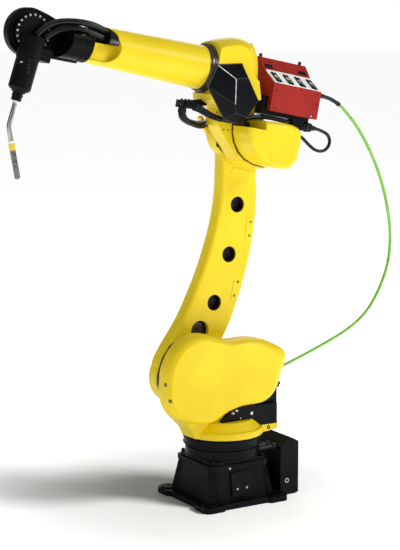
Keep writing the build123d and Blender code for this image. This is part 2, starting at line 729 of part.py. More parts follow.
def feeder_panel():
    """White panel with four dark windows on the slanted face."""
    slope_length = (feeder_slope_rise ** 2 + feeder_slope_run ** 2) ** 0.5
    panel = RectangleRounded(window_panel_length, window_panel_height, window_panel_round)
    plate = Pos(0, slope_length / 2, seat_gap) * extrude(panel, amount=window_panel_thickness)
    for index in range(window_count):
        x = (index - (window_count - 1) / 2) * feeder_length / window_count
        window = Pos(x, slope_length / 2, seat_gap + window_panel_thickness / 2)
        plate -= window * extrude(Rectangle(window_width, window_height), amount=window_panel_thickness)
    return window_frame() * plate


def feeder_latches():
    """Two latches on the slanted lid."""
    run = feeder_near - feeder_slope_run + feeder_far - knob_diameter
    height = feeder_bottom + feeder_height + feeder_slope_rise
    frame = slope_frame(run, feeder_lid_rise, feeder_near - feeder_slope_run, height)
    latches = []
    for side in (-1, 1):
        latch = Pos(side * feeder_length / 3, latch_length, seat_gap) * RectangleRounded(
            latch_length, latch_width, latch_height / 2)
        latches.append(extrude(latch, amount=latch_height))
    return frame * Compound(children=latches)


def feeder_bracket():
    """Black bracket that carries the feeder on the casing."""
    low = feeder_bottom - bracket_thickness
    inner = -elbow_inner + running_gap
    shelf = block(-feeder_start - bracket_length, -feeder_start, inner, bracket_near, low,
                  feeder_bottom - seat_gap)
    wall = block(-feeder_start + seat_gap, -casing_back - seat_gap, inner, bracket_near, low,
                 feeder_bottom + feeder_height / 2)
    return elbow_frame * (shelf + wall)


def feeder_knobs():
    """Two small knobs on the top edge of the feeder lid."""
    top = feeder_bottom + feeder_height + feeder_slope_rise + feeder_lid_rise + seat_gap
    knobs = []
    for step in (0, 1):
        x = -feeder_start - knob_inset - knob_diameter / 2 - step * knob_gap
        knob = Pos(x, -feeder_far + knob_diameter / 2) * Circle(knob_diameter / 2)
        knobs.append(upright(knob, top, top + knob_height))
    return elbow_frame * Compound(children=knobs)


def feeder_socket():
    """Black socket under the feeder, with the plug of the cable loop."""
    top = feeder_bottom - bracket_thickness - seat_gap
    body = block(-socket_back, -socket_back + socket_length, plug_side - plug_radius,
                 plug_side + plug_radius, top - 2 * plug_radius, top)
    plug_end = -socket_back - plug_length
    plug = Pos(0, plug_side, top - plug_radius) * along_tube(plug_radius, plug_end, -socket_back)
    return elbow_frame * (body + plug)


def harness_clamp():
    """Black clamp in front of the elbow that holds the harness, on its bracket."""
    clamp = block(clamp_start, clamp_start + clamp_length, -clamp_far, clamp_near,
                  clamp_level - clamp_height / 2, clamp_level + clamp_height / 2)
    bracket = side_plate(clamp_bracket_shares, casing_length, clamp_bracket_width, 0)
    return elbow_frame * (clamp + bracket)


def forearm_tube():
    """Tapered yellow tube with a D-shaped cut-out near the wrist."""
    profile = make_face(Polyline((forearm_tube_start, 0), (forearm_tube_start, forearm_root_radius),
                                 (forearm_tube_end, forearm_end_radius), (forearm_tube_end, 0), close=True))
    tube = revolve(Plane.XZ * profile, Axis.X)
    round_end = forearm_tube_end - notch_length + notch_radius
    notch = side_disc(notch_radius, forearm_root_radius, notch_floor, round_end, -notch_drop)
    notch += block(round_end, forearm_tube_end + overrun, notch_floor, forearm_root_radius,
                   -notch_drop - notch_radius, -notch_drop + notch_radius)
    pocket = Pos(forearm_tube_end, 0, 0) * side_plate(notch_pocket_shares, notch_length, forearm_root_radius,
                                                      -pocket_floor)
    return forearm_frame * (tube - notch - pocket)


def conduit_boot():
    """Black boot at the end of the cut-out, where the conduits come out of the tube."""
    block_end = Pos(forearm_tube_end, 0, 0) * side_plate(boot_shares, notch_length, forearm_end_radius,
                                                         seat_gap - pocket_floor)
    core = along_tube(forearm_end_radius, forearm_tube_end - notch_length, forearm_tube_end)
    return forearm_frame * (block_end & core)


def wrist_housing():
    """Black ribbed housing between the forearm tube and the wrist arm, open above for the conduits."""
    start = forearm_tube_end + seat_gap
    body = along_tube(wrist_housing_radius, start, forearm_length)
    for index in range(wrist_rib_count):
        rib = start + wrist_rib_gap * index + wrist_rib_width / 2
        body += along_tube(wrist_rib_radius, rib, rib + wrist_rib_width)
    reach = 2 * wrist_rib_radius
    first = start - overrun
    last = forearm_length + overrun
    body -= block(first, last, -reach, reach, wrist_housing_top, reach)
    body -= block(first, last, -reach, -wrist_arm_near + seat_gap, -reach, reach)
    body -= side_disc(wrist_sweep_radius, reach, -reach, forearm_length, 0)
    return forearm_frame * body


def wrist_arm():
    """Black arm on the far side that holds the wrist axis, with its round disc."""
    near = -wrist_arm_near
    far = near - wrist_arm_thickness
    disc = side_disc(wrist_disc_radius, near, far, forearm_length, 0)
    root = Pos(forearm_tube_end + seat_gap, 0, 0)
    return forearm_frame * (disc + root * side_plate(neck_shares, forearm_length, near, far))


def wrist_unit():
    """Black unit that tilts on the wrist arm and carries the torch."""
    barrel = along_tube(unit_radius, unit_back, unit_front)
    boss = side_disc(unit_boss_radius, -unit_boss_near, -wrist_arm_near + seat_gap)
    width = unit_block_width / 2
    inlet = block(unit_front - unit_block_length, unit_front, -width, width, -unit_block_reach, 0)
    return wrist_frame * (barrel + boss + inlet)


def torch_body():
    """Black torch mount that rolls on the wrist unit, with its collar."""
    start = unit_front + seat_gap
    end = start + torch_body_length
    body = along_tube(torch_radius, start, end)
    body = chamfer(body.edges().group_by(Axis.X)[-1], torch_edge)
    return wrist_frame * (body + along_tube(collar_radius, end - overrun, end + collar_length))


neck_start = unit_front + seat_gap + torch_body_length + collar_length + seat_gap + ferrule_length + seat_gap
neck_bend_start = neck_start + neck_straight
neck_end_place = (neck_bend_start + neck_bend_radius * sin(radians(neck_bend)), 0,
                  -neck_bend_radius * (1 - cos(radians(neck_bend))))
nozzle_frame = wrist_frame * Location(neck_end_place) * Rot(0, neck_bend, 0)


def torch_neck():
    """The bent chrome neck between its two ferrules."""
    straight = along_tube(neck_radius, neck_start, neck_bend_start)
    pivot = Axis((neck_bend_start, 0, -neck_bend_radius), (0, 1, 0))
    bend = revolve(Plane.YZ.offset(neck_bend_start) * Circle(neck_radius), pivot, neck_bend)
    lead = along_tube(neck_radius, 0, neck_lead)
    return wrist_frame * (straight + bend) + nozzle_frame * lead


def torch_ferrules():
    """White rings at both ends of the neck."""
    top = neck_start - seat_gap
    first = wrist_frame * along_tube(ferrule_radius, top - ferrule_length, top)
    second = nozzle_frame * along_tube(ferrule_radius, neck_lead + seat_gap, neck_lead + ferrule_length)
    return Compound(children=[first, second])


band_start = neck_lead + ferrule_length + seat_gap


def insulator_band():
    """Yellow insulating band at the root of the nozzle."""
    return nozzle_frame * along_tube(band_radius, band_start, band_start + band_length)


def torch_nozzle():
    """Gas nozzle with the contact tip inside."""
    start = band_start + band_length + seat_gap
    end = start + nozzle_length
    shell = along_tube(nozzle_radius, start, end)
    shell -= along_tube(nozzle_bore_radius, start + nozzle_length / 3, end + overrun)
    shell += along_tube(tip_radius, start + nozzle_length / 4, end + tip_reach)
    return nozzle_frame * shell


def green_conduit():
    """Green liner conduit from the feeder's sleeve down to its gland on the turntable."""
    last = Vector(*sleeve_route_shares[-1]) * feeder_length
    run = last - Vector(*sleeve_route_shares[-2]) * feeder_length
    start = (elbow_frame * Pos(*(last + run.normalized() * seat_gap))).position
    end = Vector(-upright_back() - gland_length - seat_gap, gland_side, gland_height)
    return cord_tube([tuple(point) for point in between(start, end, green_route_shares)], green_diameter)


def harness_loops():
    """Two cables that loop from the clamp to the horn of the lower arm."""
    loops = [cord_on(elbow_frame, shares, feeder_length, harness_loop_diameter)
             for shares in harness_loop_route_shares]
    return Compound(children=loops)


def wrist_conduits():
    """Two black conduits from the forearm's cut-out into the wrist unit."""
    frame = forearm_frame * Pos(forearm_length, 0, 0)
    conduits = [cord_on(frame, shares, wrist_reach, conduit_diameter) for shares in conduit_route_shares]
    return Compound(children=conduits)


nodes = {
    "base_casting": base_casting(),
    "side_cover": side_cover(),
    "connector_box": connector_box(),
    "connector_cover": connector_cover(),
    "base_hoses": base_hoses(),
    "turntable_casting": turntable_casting(),
    "shoulder_gearbox": shoulder_gearbox(),
    "shoulder_shell": shoulder_shell(),
    "terminal_box": terminal_box(),
    "swivel_motor": swivel_motor(),
    "conduit_gland": conduit_gland(),
    "lower_arm": lower_arm(),
    "arm_plug": arm_plug(),
    "elbow_gearbox": elbow_gearbox(),
    "elbow_casing": elbow_casing(),
    "elbow_rear_cover": elbow_rear_cover(),
    "forearm_seal": forearm_seal(),
    "faceted_cover": faceted_cover(),
    "elbow_motor_cover": elbow_motor_cover(),
    "feeder_housing": feeder_housing(),
    "feeder_panel": feeder_panel(),
    "feeder_latches": feeder_latches(),
    "feeder_bracket": feeder_bracket(),
    "feeder_knobs": feeder_knobs(),
    "feeder_socket": feeder_socket(),
    "harness_clamp": harness_clamp(),
    "elbow_hose": cord_on(elbow_frame, harness_route_shares, feeder_length, harness_diameter),
    "harness_loops": harness_loops(),
    "forearm_tube": forearm_tube(),
    "conduit_boot": conduit_boot(),
    "wrist_housing": wrist_housing(),
    "wrist_arm": wrist_arm(),
    "wrist_conduits": wrist_conduits(),
    "wrist_unit": wrist_unit(),
    "torch_body": torch_body(),
    "torch_neck": torch_neck(),
    "torch_ferrules": torch_ferrules(),
    "insulator_band": insulator_band(),
    "torch_nozzle": torch_nozzle(),
    "green_conduit": green_conduit(),
    "conduit_sleeve": cord_on(elbow_frame, sleeve_route_shares, feeder_length, sleeve_diameter),
    "loop_cable": cord_on(elbow_frame, loop_route_shares, feeder_length, loop_diameter),
}

for name, solid in nodes.items():
    export_step(solid, f"parts/{name}.step")
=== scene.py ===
# %% [markdown]
# # Dressing an industrial robot arm
# The arm's castings, covers, feeder and torch come from the CAD model as a fixed frame. This file adds
# what a drawing leaves out: paint, rubber and metal finishes, the hoses as smooth curves, screws,
# fittings, gaskets and ribs. Each step says what the real thing is and why it is made this way.

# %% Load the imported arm
from math import cos, pi, radians, sin

import bmesh
import bpy
from mathutils import Matrix, Vector
from mathutils.bvhtree import BVHTree


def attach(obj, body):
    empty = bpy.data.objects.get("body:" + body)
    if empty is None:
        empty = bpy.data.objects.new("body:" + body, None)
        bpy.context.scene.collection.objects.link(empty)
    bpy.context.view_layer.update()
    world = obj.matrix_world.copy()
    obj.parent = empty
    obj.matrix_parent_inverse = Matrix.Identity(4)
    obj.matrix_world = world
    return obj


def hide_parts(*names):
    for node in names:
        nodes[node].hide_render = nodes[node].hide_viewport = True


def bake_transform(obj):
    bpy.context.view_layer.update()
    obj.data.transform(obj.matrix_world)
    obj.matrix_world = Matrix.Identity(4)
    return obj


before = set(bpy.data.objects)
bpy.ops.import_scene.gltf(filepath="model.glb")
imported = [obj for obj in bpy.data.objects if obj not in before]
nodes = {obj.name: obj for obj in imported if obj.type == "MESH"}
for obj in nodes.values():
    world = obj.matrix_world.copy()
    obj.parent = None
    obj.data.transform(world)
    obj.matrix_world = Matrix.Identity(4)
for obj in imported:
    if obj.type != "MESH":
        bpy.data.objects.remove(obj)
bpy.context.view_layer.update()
scene = bpy.context.scene
mm = 0.001

# %% [markdown]
# The camera stands six metres away, a little above the arm's elbow, and looks slightly down. A long lens
# keeps the upright edges nearly parallel, as a studio photographer would. Its place and direction were
# worked out once from the square base and the round swivel ring, so they are plain numbers here.

# %% Camera
eye = Vector((3.2274, 5.0580, 1.7845))
ahead = Vector((-0.519826, -0.839178, -0.159881))
to_right = Vector((-0.850113, 0.526600, 0))
upward = Vector((-0.084193, -0.135917, 0.987136))
image_width, image_height = 400, 550
focal_pixels = 1706.09
film_width = 36

camera_data = bpy.data.cameras.new("camera")
camera_data.sensor_width = film_width
camera_data.lens = film_width * focal_pixels / image_height
camera_data.clip_start, camera_data.clip_end = 0.1, 60
camera = bpy.data.objects.new("camera", camera_data)
camera.location = eye
camera.rotation_euler = ahead.to_track_quat("-Z", "Y").to_euler()
scene.collection.objects.link(camera)
scene.camera = camera
print("lens", round(camera_data.lens, 1), "mm")

# %% [markdown]
# The arm stands on a wide flat floor. It is so large that its far edge melts into the white room, so the
# arm can be seen from any side with hardly a horizon behind it.

# %% Floor
def add_mesh(name, mesh, material=None):
    """A new object around a finished bmesh."""
    data = bpy.data.meshes.new(name)
    mesh.to_mesh(data)
    mesh.free()
    made = bpy.data.objects.new(name, data)
    scene.collection.objects.link(made)
    if material is not None:
        data.materials.append(material)
    return made


def circle(radius, count, start=0.0):
    """Evenly spaced points round a circle."""
    return [(radius * cos(start + 2 * pi * step / count), radius * sin(start + 2 * pi * step / count))
            for step in range(count)]


def floor_disc(radii, sides=96):
    """A flat floor of growing rings round the base."""
    mesh = bmesh.new()
    middle = mesh.verts.new((0, 0, 0))
    rows = [[mesh.verts.new((x, y, 0)) for x, y in circle(radius, sides)] for radius in radii]
    for step in range(sides):
        after = (step + 1) % sides
        mesh.faces.new((middle, rows[0][step], rows[0][after]))
        for inner, outer in zip(rows, rows[1:]):
            mesh.faces.new((inner[step], outer[step], outer[after], inner[after]))
    return mesh


floor_radii = (1, 3, 9, 27, 60)
floor = add_mesh("studio_floor", floor_disc(floor_radii))
print("floor polygons", len(floor.data.polygons))

# %% [markdown]
# Large soft lamps give the even light of a product photograph: a key from the upper right, a broad
# overhead sheet, a weaker fill from the left that keeps the black castings readable, and a lamp behind
# for the far edges. One more lamp reaches only the floor, which whitens the paper and leaves a firm
# shadow on it.

# %% Lamps
def soft_lamp(name, place, target, size, power):
    """A square soft lamp that faces its target."""
    data = bpy.data.lights.new(name, "AREA")
    data.shape, data.size, data.energy = "SQUARE", size, power
    lamp = bpy.data.objects.new(name, data)
    lamp.location = place
    lamp.rotation_euler = (Vector(target) - Vector(place)).to_track_quat("-Z", "Y").to_euler()
    scene.collection.objects.link(lamp)
    return lamp


arm_middle, base_top = (0.1, 0, 0.9), (0, 0, 0.3)
soft_lamp("key", (-3.2, 3.6, 3.8), arm_middle, size=1.3, power=108)
soft_lamp("overhead", (0.6, 0.6, 4.2), arm_middle, size=3.0, power=21)
soft_lamp("fill", (4.4, 2.2, 1.8), arm_middle, size=2.4, power=17)
soft_lamp("back", (-2.6, -3.2, 2.8), arm_middle, size=2.0, power=28)
floor_lamp = soft_lamp("floor key", (-2.7, 3.3, 3.3), base_top, size=1.5, power=540)
lit_by_floor_lamp = bpy.data.collections.new("lit by the floor key")
lit_by_floor_lamp.objects.link(floor)
floor_lamp.light_linking.receiver_collection = lit_by_floor_lamp
print("lamps", len(bpy.data.lights))

# %% [markdown]
# The room is white to look at, but lights the arm only weakly, as a white wall far away does. One light
# ray node tells the two apart. The plain display transform shows each paint in its own colour.

# %% White room
room_light, room_seen = 0.26, 1.0
world = bpy.data.worlds.new("pale room")
world.use_nodes = True
room = world.node_tree.nodes["Background"]
room.inputs["Color"].default_value = (1, 1, 1, 1)
light_path = world.node_tree.nodes.new("ShaderNodeLightPath")
strength = world.node_tree.nodes.new("ShaderNodeMapRange")
strength.inputs["To Min"].default_value = room_light
strength.inputs["To Max"].default_value = room_seen
world.node_tree.links.new(light_path.outputs["Is Camera Ray"], strength.inputs["Value"])
world.node_tree.links.new(strength.outputs["Result"], room.inputs["Strength"])
scene.world = world
scene.view_settings.view_transform = "Standard"
print("room light", room_light)

# %% [markdown]
# A finish is easier to read as a formula than as a heap of boxes and wires. `Value` wraps one socket
# that varies over the surface and turns `+`, `-` and `*` into Math nodes.

# %% Shader values
class Value:
    """A number, colour or vector that varies over a surface."""

    def __init__(self, finish, socket):
        self.finish, self.socket = finish, socket

    def work(self, operation, first, second):
        return self.finish.node("ShaderNodeMath", {"operation": operation}, {0: first, 1: second})

    def __add__(self, other):
        return self.work("ADD", self, other)

    def __sub__(self, other):
        return self.work("SUBTRACT", self, other)

    def __rsub__(self, other):
        return self.work("SUBTRACT", other, self)

    def __mul__(self, other):
        return self.work("MULTIPLY", self, other)

    __radd__, __rmul__ = __add__, __mul__


print("values ready")

# %% [markdown]
# `Finish` owns a material. Its constants sit on the shader itself. Its `node` method makes any other node
# from a type, settings and sockets, and `slot` names the colour that the plain model has in that place.

# %% Finishes
class Finish:
    """A material whose constants sit on the shader and whose variation is written as formulas."""

    def __init__(self, name, constants, slot=None):
        self.slot = slot
        self.material = bpy.data.materials.new(name)
        self.material.use_nodes = True
        self.tree = self.material.node_tree
        self.shader = self.tree.nodes["Principled BSDF"]
        for socket, number in constants.items():
            self.shader.inputs[socket].default_value = number

    def node(self, kind, settings, sockets, output=0):
        made = self.tree.nodes.new(kind)
        for key, setting in settings.items():
            if key == "stops":
                for index, (position, colour) in enumerate(setting):
                    ramp = made.color_ramp.elements
                    stop = ramp[index] if index < len(ramp) else ramp.new(position)
                    stop.position, stop.color = position, (*colour, 1)
            else:
                setattr(made, key, setting)
        for key, value in sockets.items():
            self.join(made.inputs[key], value)
        return Value(self, made.outputs[output])

    def join(self, socket, value):
        if isinstance(value, Value):
            self.tree.links.new(value.socket, socket)
        else:
            socket.default_value = value

    def vary(self, socket, value):
        self.join(self.shader.inputs[socket], value)

    def place(self):
        return self.node("ShaderNodeTexCoord", {}, {}, "Object")

    def noise(self, size, detail=2.0, stretch=(1, 1, 1)):
        """Cloudy variation whose blobs are about this many metres across."""
        spot = self.node("ShaderNodeVectorMath", {"operation": "MULTIPLY"}, {0: self.place(), 1: stretch})
        return self.node("ShaderNodeTexNoise", {}, {"Vector": spot, "Scale": 1 / size, "Detail": detail})

    def cells(self, size):
        """Distance to the nearest of many scattered points."""
        return self.node("ShaderNodeTexVoronoi", {}, {"Vector": self.place(), "Scale": 1 / size})

    def band(self, value, low, high):
        """0 below low, 1 above high, and smooth in between."""
        return self.node("ShaderNodeMapRange", {"interpolation_type": "SMOOTHSTEP"},
                         {"Value": value, "From Min": low, "From Max": high})

    def height(self):
        """Height above the floor, in metres."""
        return self.node("ShaderNodeSeparateXYZ", {}, {0: self.place()}, "Z")

    def mix(self, mask, low, high):
        """A colour between two others."""
        low, high = [c if isinstance(c, Value) else (*c, 1) for c in (low, high)]
        return self.node("ShaderNodeMix", {"data_type": "RGBA"}, {0: mask, 6: low, 7: high}, 2)

    def rounded(self, radius):
        """A normal that rolls over hard edges."""
        return self.node("ShaderNodeBevel", {"samples": 6}, {"Radius": radius})

    def edges(self, radius):
        """1 along hard edges, where hands and tools rub the paint; on black enamel it also carries a painted
        highlight.
        """
        plain = self.node("ShaderNodeNewGeometry", {}, {}, "Normal")
        along = self.node("ShaderNodeVectorMath", {"operation": "DOT_PRODUCT"},
                          {0: self.rounded(radius), 1: plain}, "Value")
        return self.band(1 - along, 0.03, 0.25)

    def relief(self, height, distance, normal):
        """Fine bumps on top of a normal."""
        self.vary("Normal", self.node("ShaderNodeBump", {}, {"Strength": 1.0, "Distance": distance,
                                                             "Height": height, "Normal": normal}))


print("shader helpers ready")

# %% [markdown]
# **Paper floor.** Studio paper is matt and nearly white. Photographers light the far part of it on its
# own, so that it burns out to white while the floor near the object keeps its soft shadow. Here that
# second light is a glow of the paper, which starts a little away from the base.

# %% Paper floor
glow_starts, glow_is_full = 0.30, 1.4
paper = Finish("paper floor", {"Roughness": 0.9, "Specular IOR Level": 0.1, "Emission Strength": 1.0})
fibre = paper.band(paper.noise(0.3, 4), 0.3, 0.7)
paper.vary("Base Color", paper.mix(fibre, (0.50, 0.50, 0.50), (0.52, 0.52, 0.52)))
away = paper.node("ShaderNodeVectorMath", {"operation": "LENGTH"}, {0: paper.place()}, "Value")
glow = paper.band(away, glow_starts, glow_is_full)
paper.vary("Emission Color", paper.mix(glow, (0, 0, 0), (0.82, 0.82, 0.82)))
floor.data.materials.append(paper.material)
print("paper nodes", len(paper.tree.nodes))

# %% [markdown]
# **Yellow enamel.** Robot castings are ground, filled and sprayed with a glossy two-part enamel. Close
# up it shows orange peel, soft pools where the coat is thicker, and a paler line where edges rub. The
# colour drifts with noise, and dust gathers low down near the floor.

# %% Yellow enamel
yellow = Finish("yellow enamel", {"Coat Weight": 0.06, "Coat Roughness": 0.15, "Specular IOR Level": 0.24},
                "yellow_paint")
pooling = yellow.band(yellow.noise(0.16, 3), 0.35, 0.70)
colour = yellow.mix(pooling, (0.85, 0.635, 0.008), (0.91, 0.695, 0.012))
rubbed = yellow.edges(2.2 * mm) * yellow.band(yellow.noise(0.035, 4), 0.40, 0.62)
colour = yellow.mix(rubbed * 0.55, colour, (0.98, 0.84, 0.30))
dusty = yellow.band(1 - yellow.height(), 0.70, 1.15) * yellow.band(yellow.noise(0.05, 5), 0.45, 0.75)
yellow.vary("Base Color", yellow.mix(dusty * 0.25, colour, (0.62, 0.50, 0.20)))
yellow.vary("Roughness", 0.34 + 0.14 * yellow.noise(0.06, 3) + 0.2 * dusty)
peel = yellow.noise(2.4 * mm, 2) + 1.6 * yellow.noise(11 * mm, 2)
yellow.relief(peel, 0.10 * mm, yellow.rounded(2.2 * mm))
print("yellow enamel nodes", len(yellow.tree.nodes))

# %% [markdown]
# ** Black enamel** covers the base, the wrist and the boxes. It is the same kind of coat, but satin, on a
# rougher sand casting, so its relief is coarser. Its edges turn grey: partly primer where the paint is worn,
# partly a painted highlight along the edges. Scuffs break up the gloss: they change only the roughness, as a
# dry cloth over dust would.

# %% Black enamel
black = Finish("black enamel", {"Coat Weight": 0.02, "Coat Roughness": 0.12, "Specular IOR Level": 0.075},
               "black_paint")
cloud = black.noise(0.12, 4)
colour = black.mix(black.band(cloud, 0.35, 0.7), (0.0025, 0.0028, 0.0038), (0.0060, 0.0066, 0.0085))
# Grey along hard edges: partly worn paint showing primer, partly a painted highlight.
worn_and_highlight_edges = black.edges(2.0 * mm) * (0.35 + 0.65 * black.band(black.noise(0.02, 5), 0.42, 0.60))
colour = black.mix(worn_and_highlight_edges * 0.7, colour, (0.060, 0.063, 0.070))
speck = black.band(black.noise(0.004, 2), 0.70, 0.78)
black.vary("Base Color", black.mix(speck * 0.25, colour, (0.10, 0.10, 0.10)))
scuff = black.band(black.noise(0.03, 6, (1, 1, 3)), 0.52, 0.70)
black.vary("Roughness", 0.33 + 0.12 * cloud + 0.16 * scuff)
grain = black.noise(1.8 * mm, 3) + 1.2 * black.noise(7 * mm, 2)
black.relief(grain, 0.16 * mm, black.rounded(1.8 * mm))
print("black enamel nodes", len(black.tree.nodes))

# %% [markdown]
# The ridges of the black faceted cover are rubbed smooth, so each one draws a thin line. They get a glossier
# black, and the two that catch the light best get a near-white colour, which is a painted highlight.

# %% Rubbed black and painted highlight
def rubbed_and_highlit_black(name, darkest, bare):
    """Glossy black between two colours: rubbed wear on the plain ridges, a painted highlight on the two
    bright ones.
    """
    made = Finish(name, {"Coat Weight": 0.3, "Coat Roughness": 0.08, "Specular IOR Level": 0.5},
                  "black_paint")
    wear_and_highlight_mask = made.band(made.noise(0.02, 4), 0.40, 0.62)
    made.vary("Base Color", made.mix(wear_and_highlight_mask, darkest, bare))
    made.vary("Roughness", 0.16 + 0.14 * made.noise(0.01, 3))
    made.relief(made.noise(1.5 * mm, 2), 0.04 * mm, made.rounded(0.5 * mm))
    return made


ridge = rubbed_and_highlit_black("rubbed ridge", (0.006, 0.007, 0.009), (0.030, 0.032, 0.036))
# A painted highlight: near-white colours for the two ridges that catch the light best.
painted_highlight_ridge = rubbed_and_highlit_black("painted highlight ridge", (0.55, 0.56, 0.58), (0.85, 0.86, 0.88))
print("rubbed and highlit black finishes", 2)

# %% [markdown]
# **Rubber, jackets and plastics.** A jacket has a dull bloom of wax, and a moulded seal is slightly brown
# with oil. They share one recipe with other colours and grains, so a small function writes it.

# %% Rubber, jackets and plastics
def soft_finish(name, slot, dark, light, roughness, grain, relief, specular=0.5, coat=0.2):
    """Rubber or plastic: two near colours, a dull bloom and a fine grain, whose size is in millimetres."""
    made = Finish(name, {"Specular IOR Level": specular, "Coat Weight": coat, "Coat Roughness": 0.15}, slot)
    bloom = made.band(made.noise(0.05, 4), 0.35, 0.72)
    made.vary("Base Color", made.mix(bloom, dark, light))
    made.vary("Roughness", roughness + 0.15 * bloom)
    made.relief(made.noise(grain * mm, 3), relief * mm, made.rounded(0.8 * mm))
    return made


seal = soft_finish("oily seal", "dark_seal", (0.012, 0.006, 0.006), (0.030, 0.015, 0.013), 0.24, 1.5, 0.10)
jacket = soft_finish("cable jacket", "black_rubber", (0.003, 0.003, 0.004), (0.007, 0.007, 0.009),
                     0.26, 0.8, 0.07, specular=0.26, coat=0.06)
green = soft_finish("green jacket", "green_jacket", (0.15, 0.47, 0.022), (0.21, 0.57, 0.040), 0.30, 1.0, 0.05)
moulded = soft_finish("moulded black", "black_plastic", (0.005, 0.005, 0.006), (0.012, 0.012, 0.014),
                      0.42, 0.5, 0.06, specular=0.25, coat=0.0)
amber = soft_finish("yellow insulator", "yellow_plastic", (0.80, 0.52, 0.010), (0.92, 0.66, 0.030),
                    0.22, 2, 0.05, coat=0.4)
glaze = soft_finish("white glaze", "white_ceramic", (0.78, 0.77, 0.74), (0.88, 0.87, 0.85),
                    0.18, 2, 0.03, coat=0.5)
print("soft finishes", 6)

# %% [markdown]
# **Red powder coat** is melted on as a dry powder. It is even in colour, but has a tight leathery
# texture, finer than orange peel. The white window plate gets a smoother coat of the same kind.

# %% Powder coats
def powder_coat(name, slot, deep, bright, worn_colour, roughness, relief):
    """Powder coat on sheet metal, rubbed a little at its folds."""
    made = Finish(name, {"Specular IOR Level": 0.15, "Coat Weight": 0.03, "Coat Roughness": 0.2}, slot)
    drift = made.band(made.noise(0.09, 3), 0.3, 0.7)
    colour = made.mix(drift, deep, bright)
    rub = made.edges(1.2 * mm) * made.band(made.noise(0.012, 4), 0.45, 0.62)
    made.vary("Base Color", made.mix(rub * 0.5, colour, worn_colour))
    made.vary("Roughness", roughness + 0.10 * made.noise(0.02, 4))
    made.relief(made.noise(0.9 * mm, 2) + 0.6 * made.cells(1.6 * mm), relief * mm, made.rounded(1.0 * mm))
    return made


red = powder_coat("red powder coat", "red_paint", (0.31, 0.016, 0.012), (0.38, 0.022, 0.016),
                  (0.55, 0.13, 0.09), 0.38, 0.09)
white = powder_coat("white window plate", "white_plate", (0.93, 0.93, 0.91), (0.97, 0.97, 0.96),
                    (0.70, 0.69, 0.66), 0.30, 0.04)
print("powder coats", 2)

# %% [markdown]
# **Metals.** The neck is plated and polished along its length, the nozzle has run hot and is dull with
# heat tint, and screws are zinc plated or blackened. Brushing is noise stretched along the part.

# %% Metals
def bare_metal(name, slot, tint_stops, roughness, relief, brush=(1, 1, 1)):
    """Metal whose tint follows a ramp over cloudy noise, with brushing along it."""
    made = Finish(name, {"Metallic": 1.0, "Specular IOR Level": 0.5}, slot)
    cloud = made.noise(0.02, 5)
    made.vary("Base Color", made.node("ShaderNodeValToRGB", {"stops": tint_stops}, {0: cloud}))
    streaks = made.noise(1.2 * mm, 3, brush)
    made.vary("Roughness", roughness + 0.16 * streaks + 0.08 * cloud)
    made.relief(streaks, relief * mm, made.rounded(0.5 * mm))
    return made


plated = [(0.25, (0.30, 0.29, 0.28)), (0.75, (0.58, 0.57, 0.55))]
heat_tint = [(0.30, (0.09, 0.085, 0.08)), (0.50, (0.22, 0.21, 0.195)), (0.72, (0.08, 0.085, 0.10))]
galvanised = [(0.3, (0.52, 0.51, 0.48)), (0.7, (0.74, 0.73, 0.70))]
blackened = [(0.3, (0.010, 0.010, 0.010)), (0.7, (0.030, 0.029, 0.028))]
chrome = bare_metal("plated neck", "chrome", plated, 0.10, 0.02, (1, 1, 0.1))
heated = bare_metal("heat tinted nozzle", "dark_steel", heat_tint, 0.30, 0.04, (1, 1, 0.15))
zinc = bare_metal("zinc plate", "chrome", galvanised, 0.26, 0.03)
oxide = bare_metal("black oxide", "dark_steel", blackened, 0.32, 0.03)
print("metals", 4)

# %% [markdown]
# Every CAD node keeps its shape and gets one of these finishes. The table reads like a paint schedule.

# %% Paint schedule
schedule = {
    yellow: ["turntable_casting", "shoulder_shell", "lower_arm", "elbow_casing", "elbow_rear_cover",
             "elbow_motor_cover", "forearm_tube"],
    black: ["base_casting", "side_cover", "connector_box", "connector_cover", "terminal_box", "swivel_motor",
            "faceted_cover", "feeder_bracket", "feeder_socket", "harness_clamp", "wrist_housing", "wrist_arm",
            "wrist_unit", "torch_body"],
    seal: ["arm_plug", "shoulder_gearbox", "elbow_gearbox", "forearm_seal"],
    jacket: ["base_hoses", "conduit_boot"],
    moulded: ["feeder_knobs", "feeder_latches", "conduit_gland"],
    red: ["feeder_housing"],
    white: ["feeder_panel"],
    chrome: ["torch_neck"],
    glaze: ["torch_ferrules"],
    amber: ["insulator_band"],
    heated: ["torch_nozzle"],
}
for finish, names in schedule.items():
    for name in names:
        nodes[name].data.materials.clear()
        nodes[name].data.materials.append(finish.material)
print("painted", sum(len(names) for names in schedule.values()), "nodes")

# %% [markdown]
# **Links.** A robot arm is a chain of links that turn about joints. Each link gets a frame with its
# origin on the joint, pitched as the link is, so that a place on it reads in the link's own directions.

# %% Frames of the links
def link_frame(origin, pitch):
    """A frame at a joint, pitched up by some degrees."""
    return Matrix.Translation(origin) @ Matrix.Rotation(radians(-pitch), 4, "Y")


forearm_pitch, torch_pitch, elbow_rise = 11.3, -71.4, 0.201
wrist_place = (0.72654, 0, 1.67588)
ground = Matrix.Identity(4)
shoulder = link_frame((0.15, 0, 0.45), 15)
elbow = link_frame((-0.08035, 0, 1.30967), forearm_pitch)
wrist_axis = link_frame(wrist_place, forearm_pitch)
forearm = elbow @ Matrix.Translation((0, 0, elbow_rise))
wrist = link_frame(wrist_place, torch_pitch)
print("wrist axis at", wrist_place)
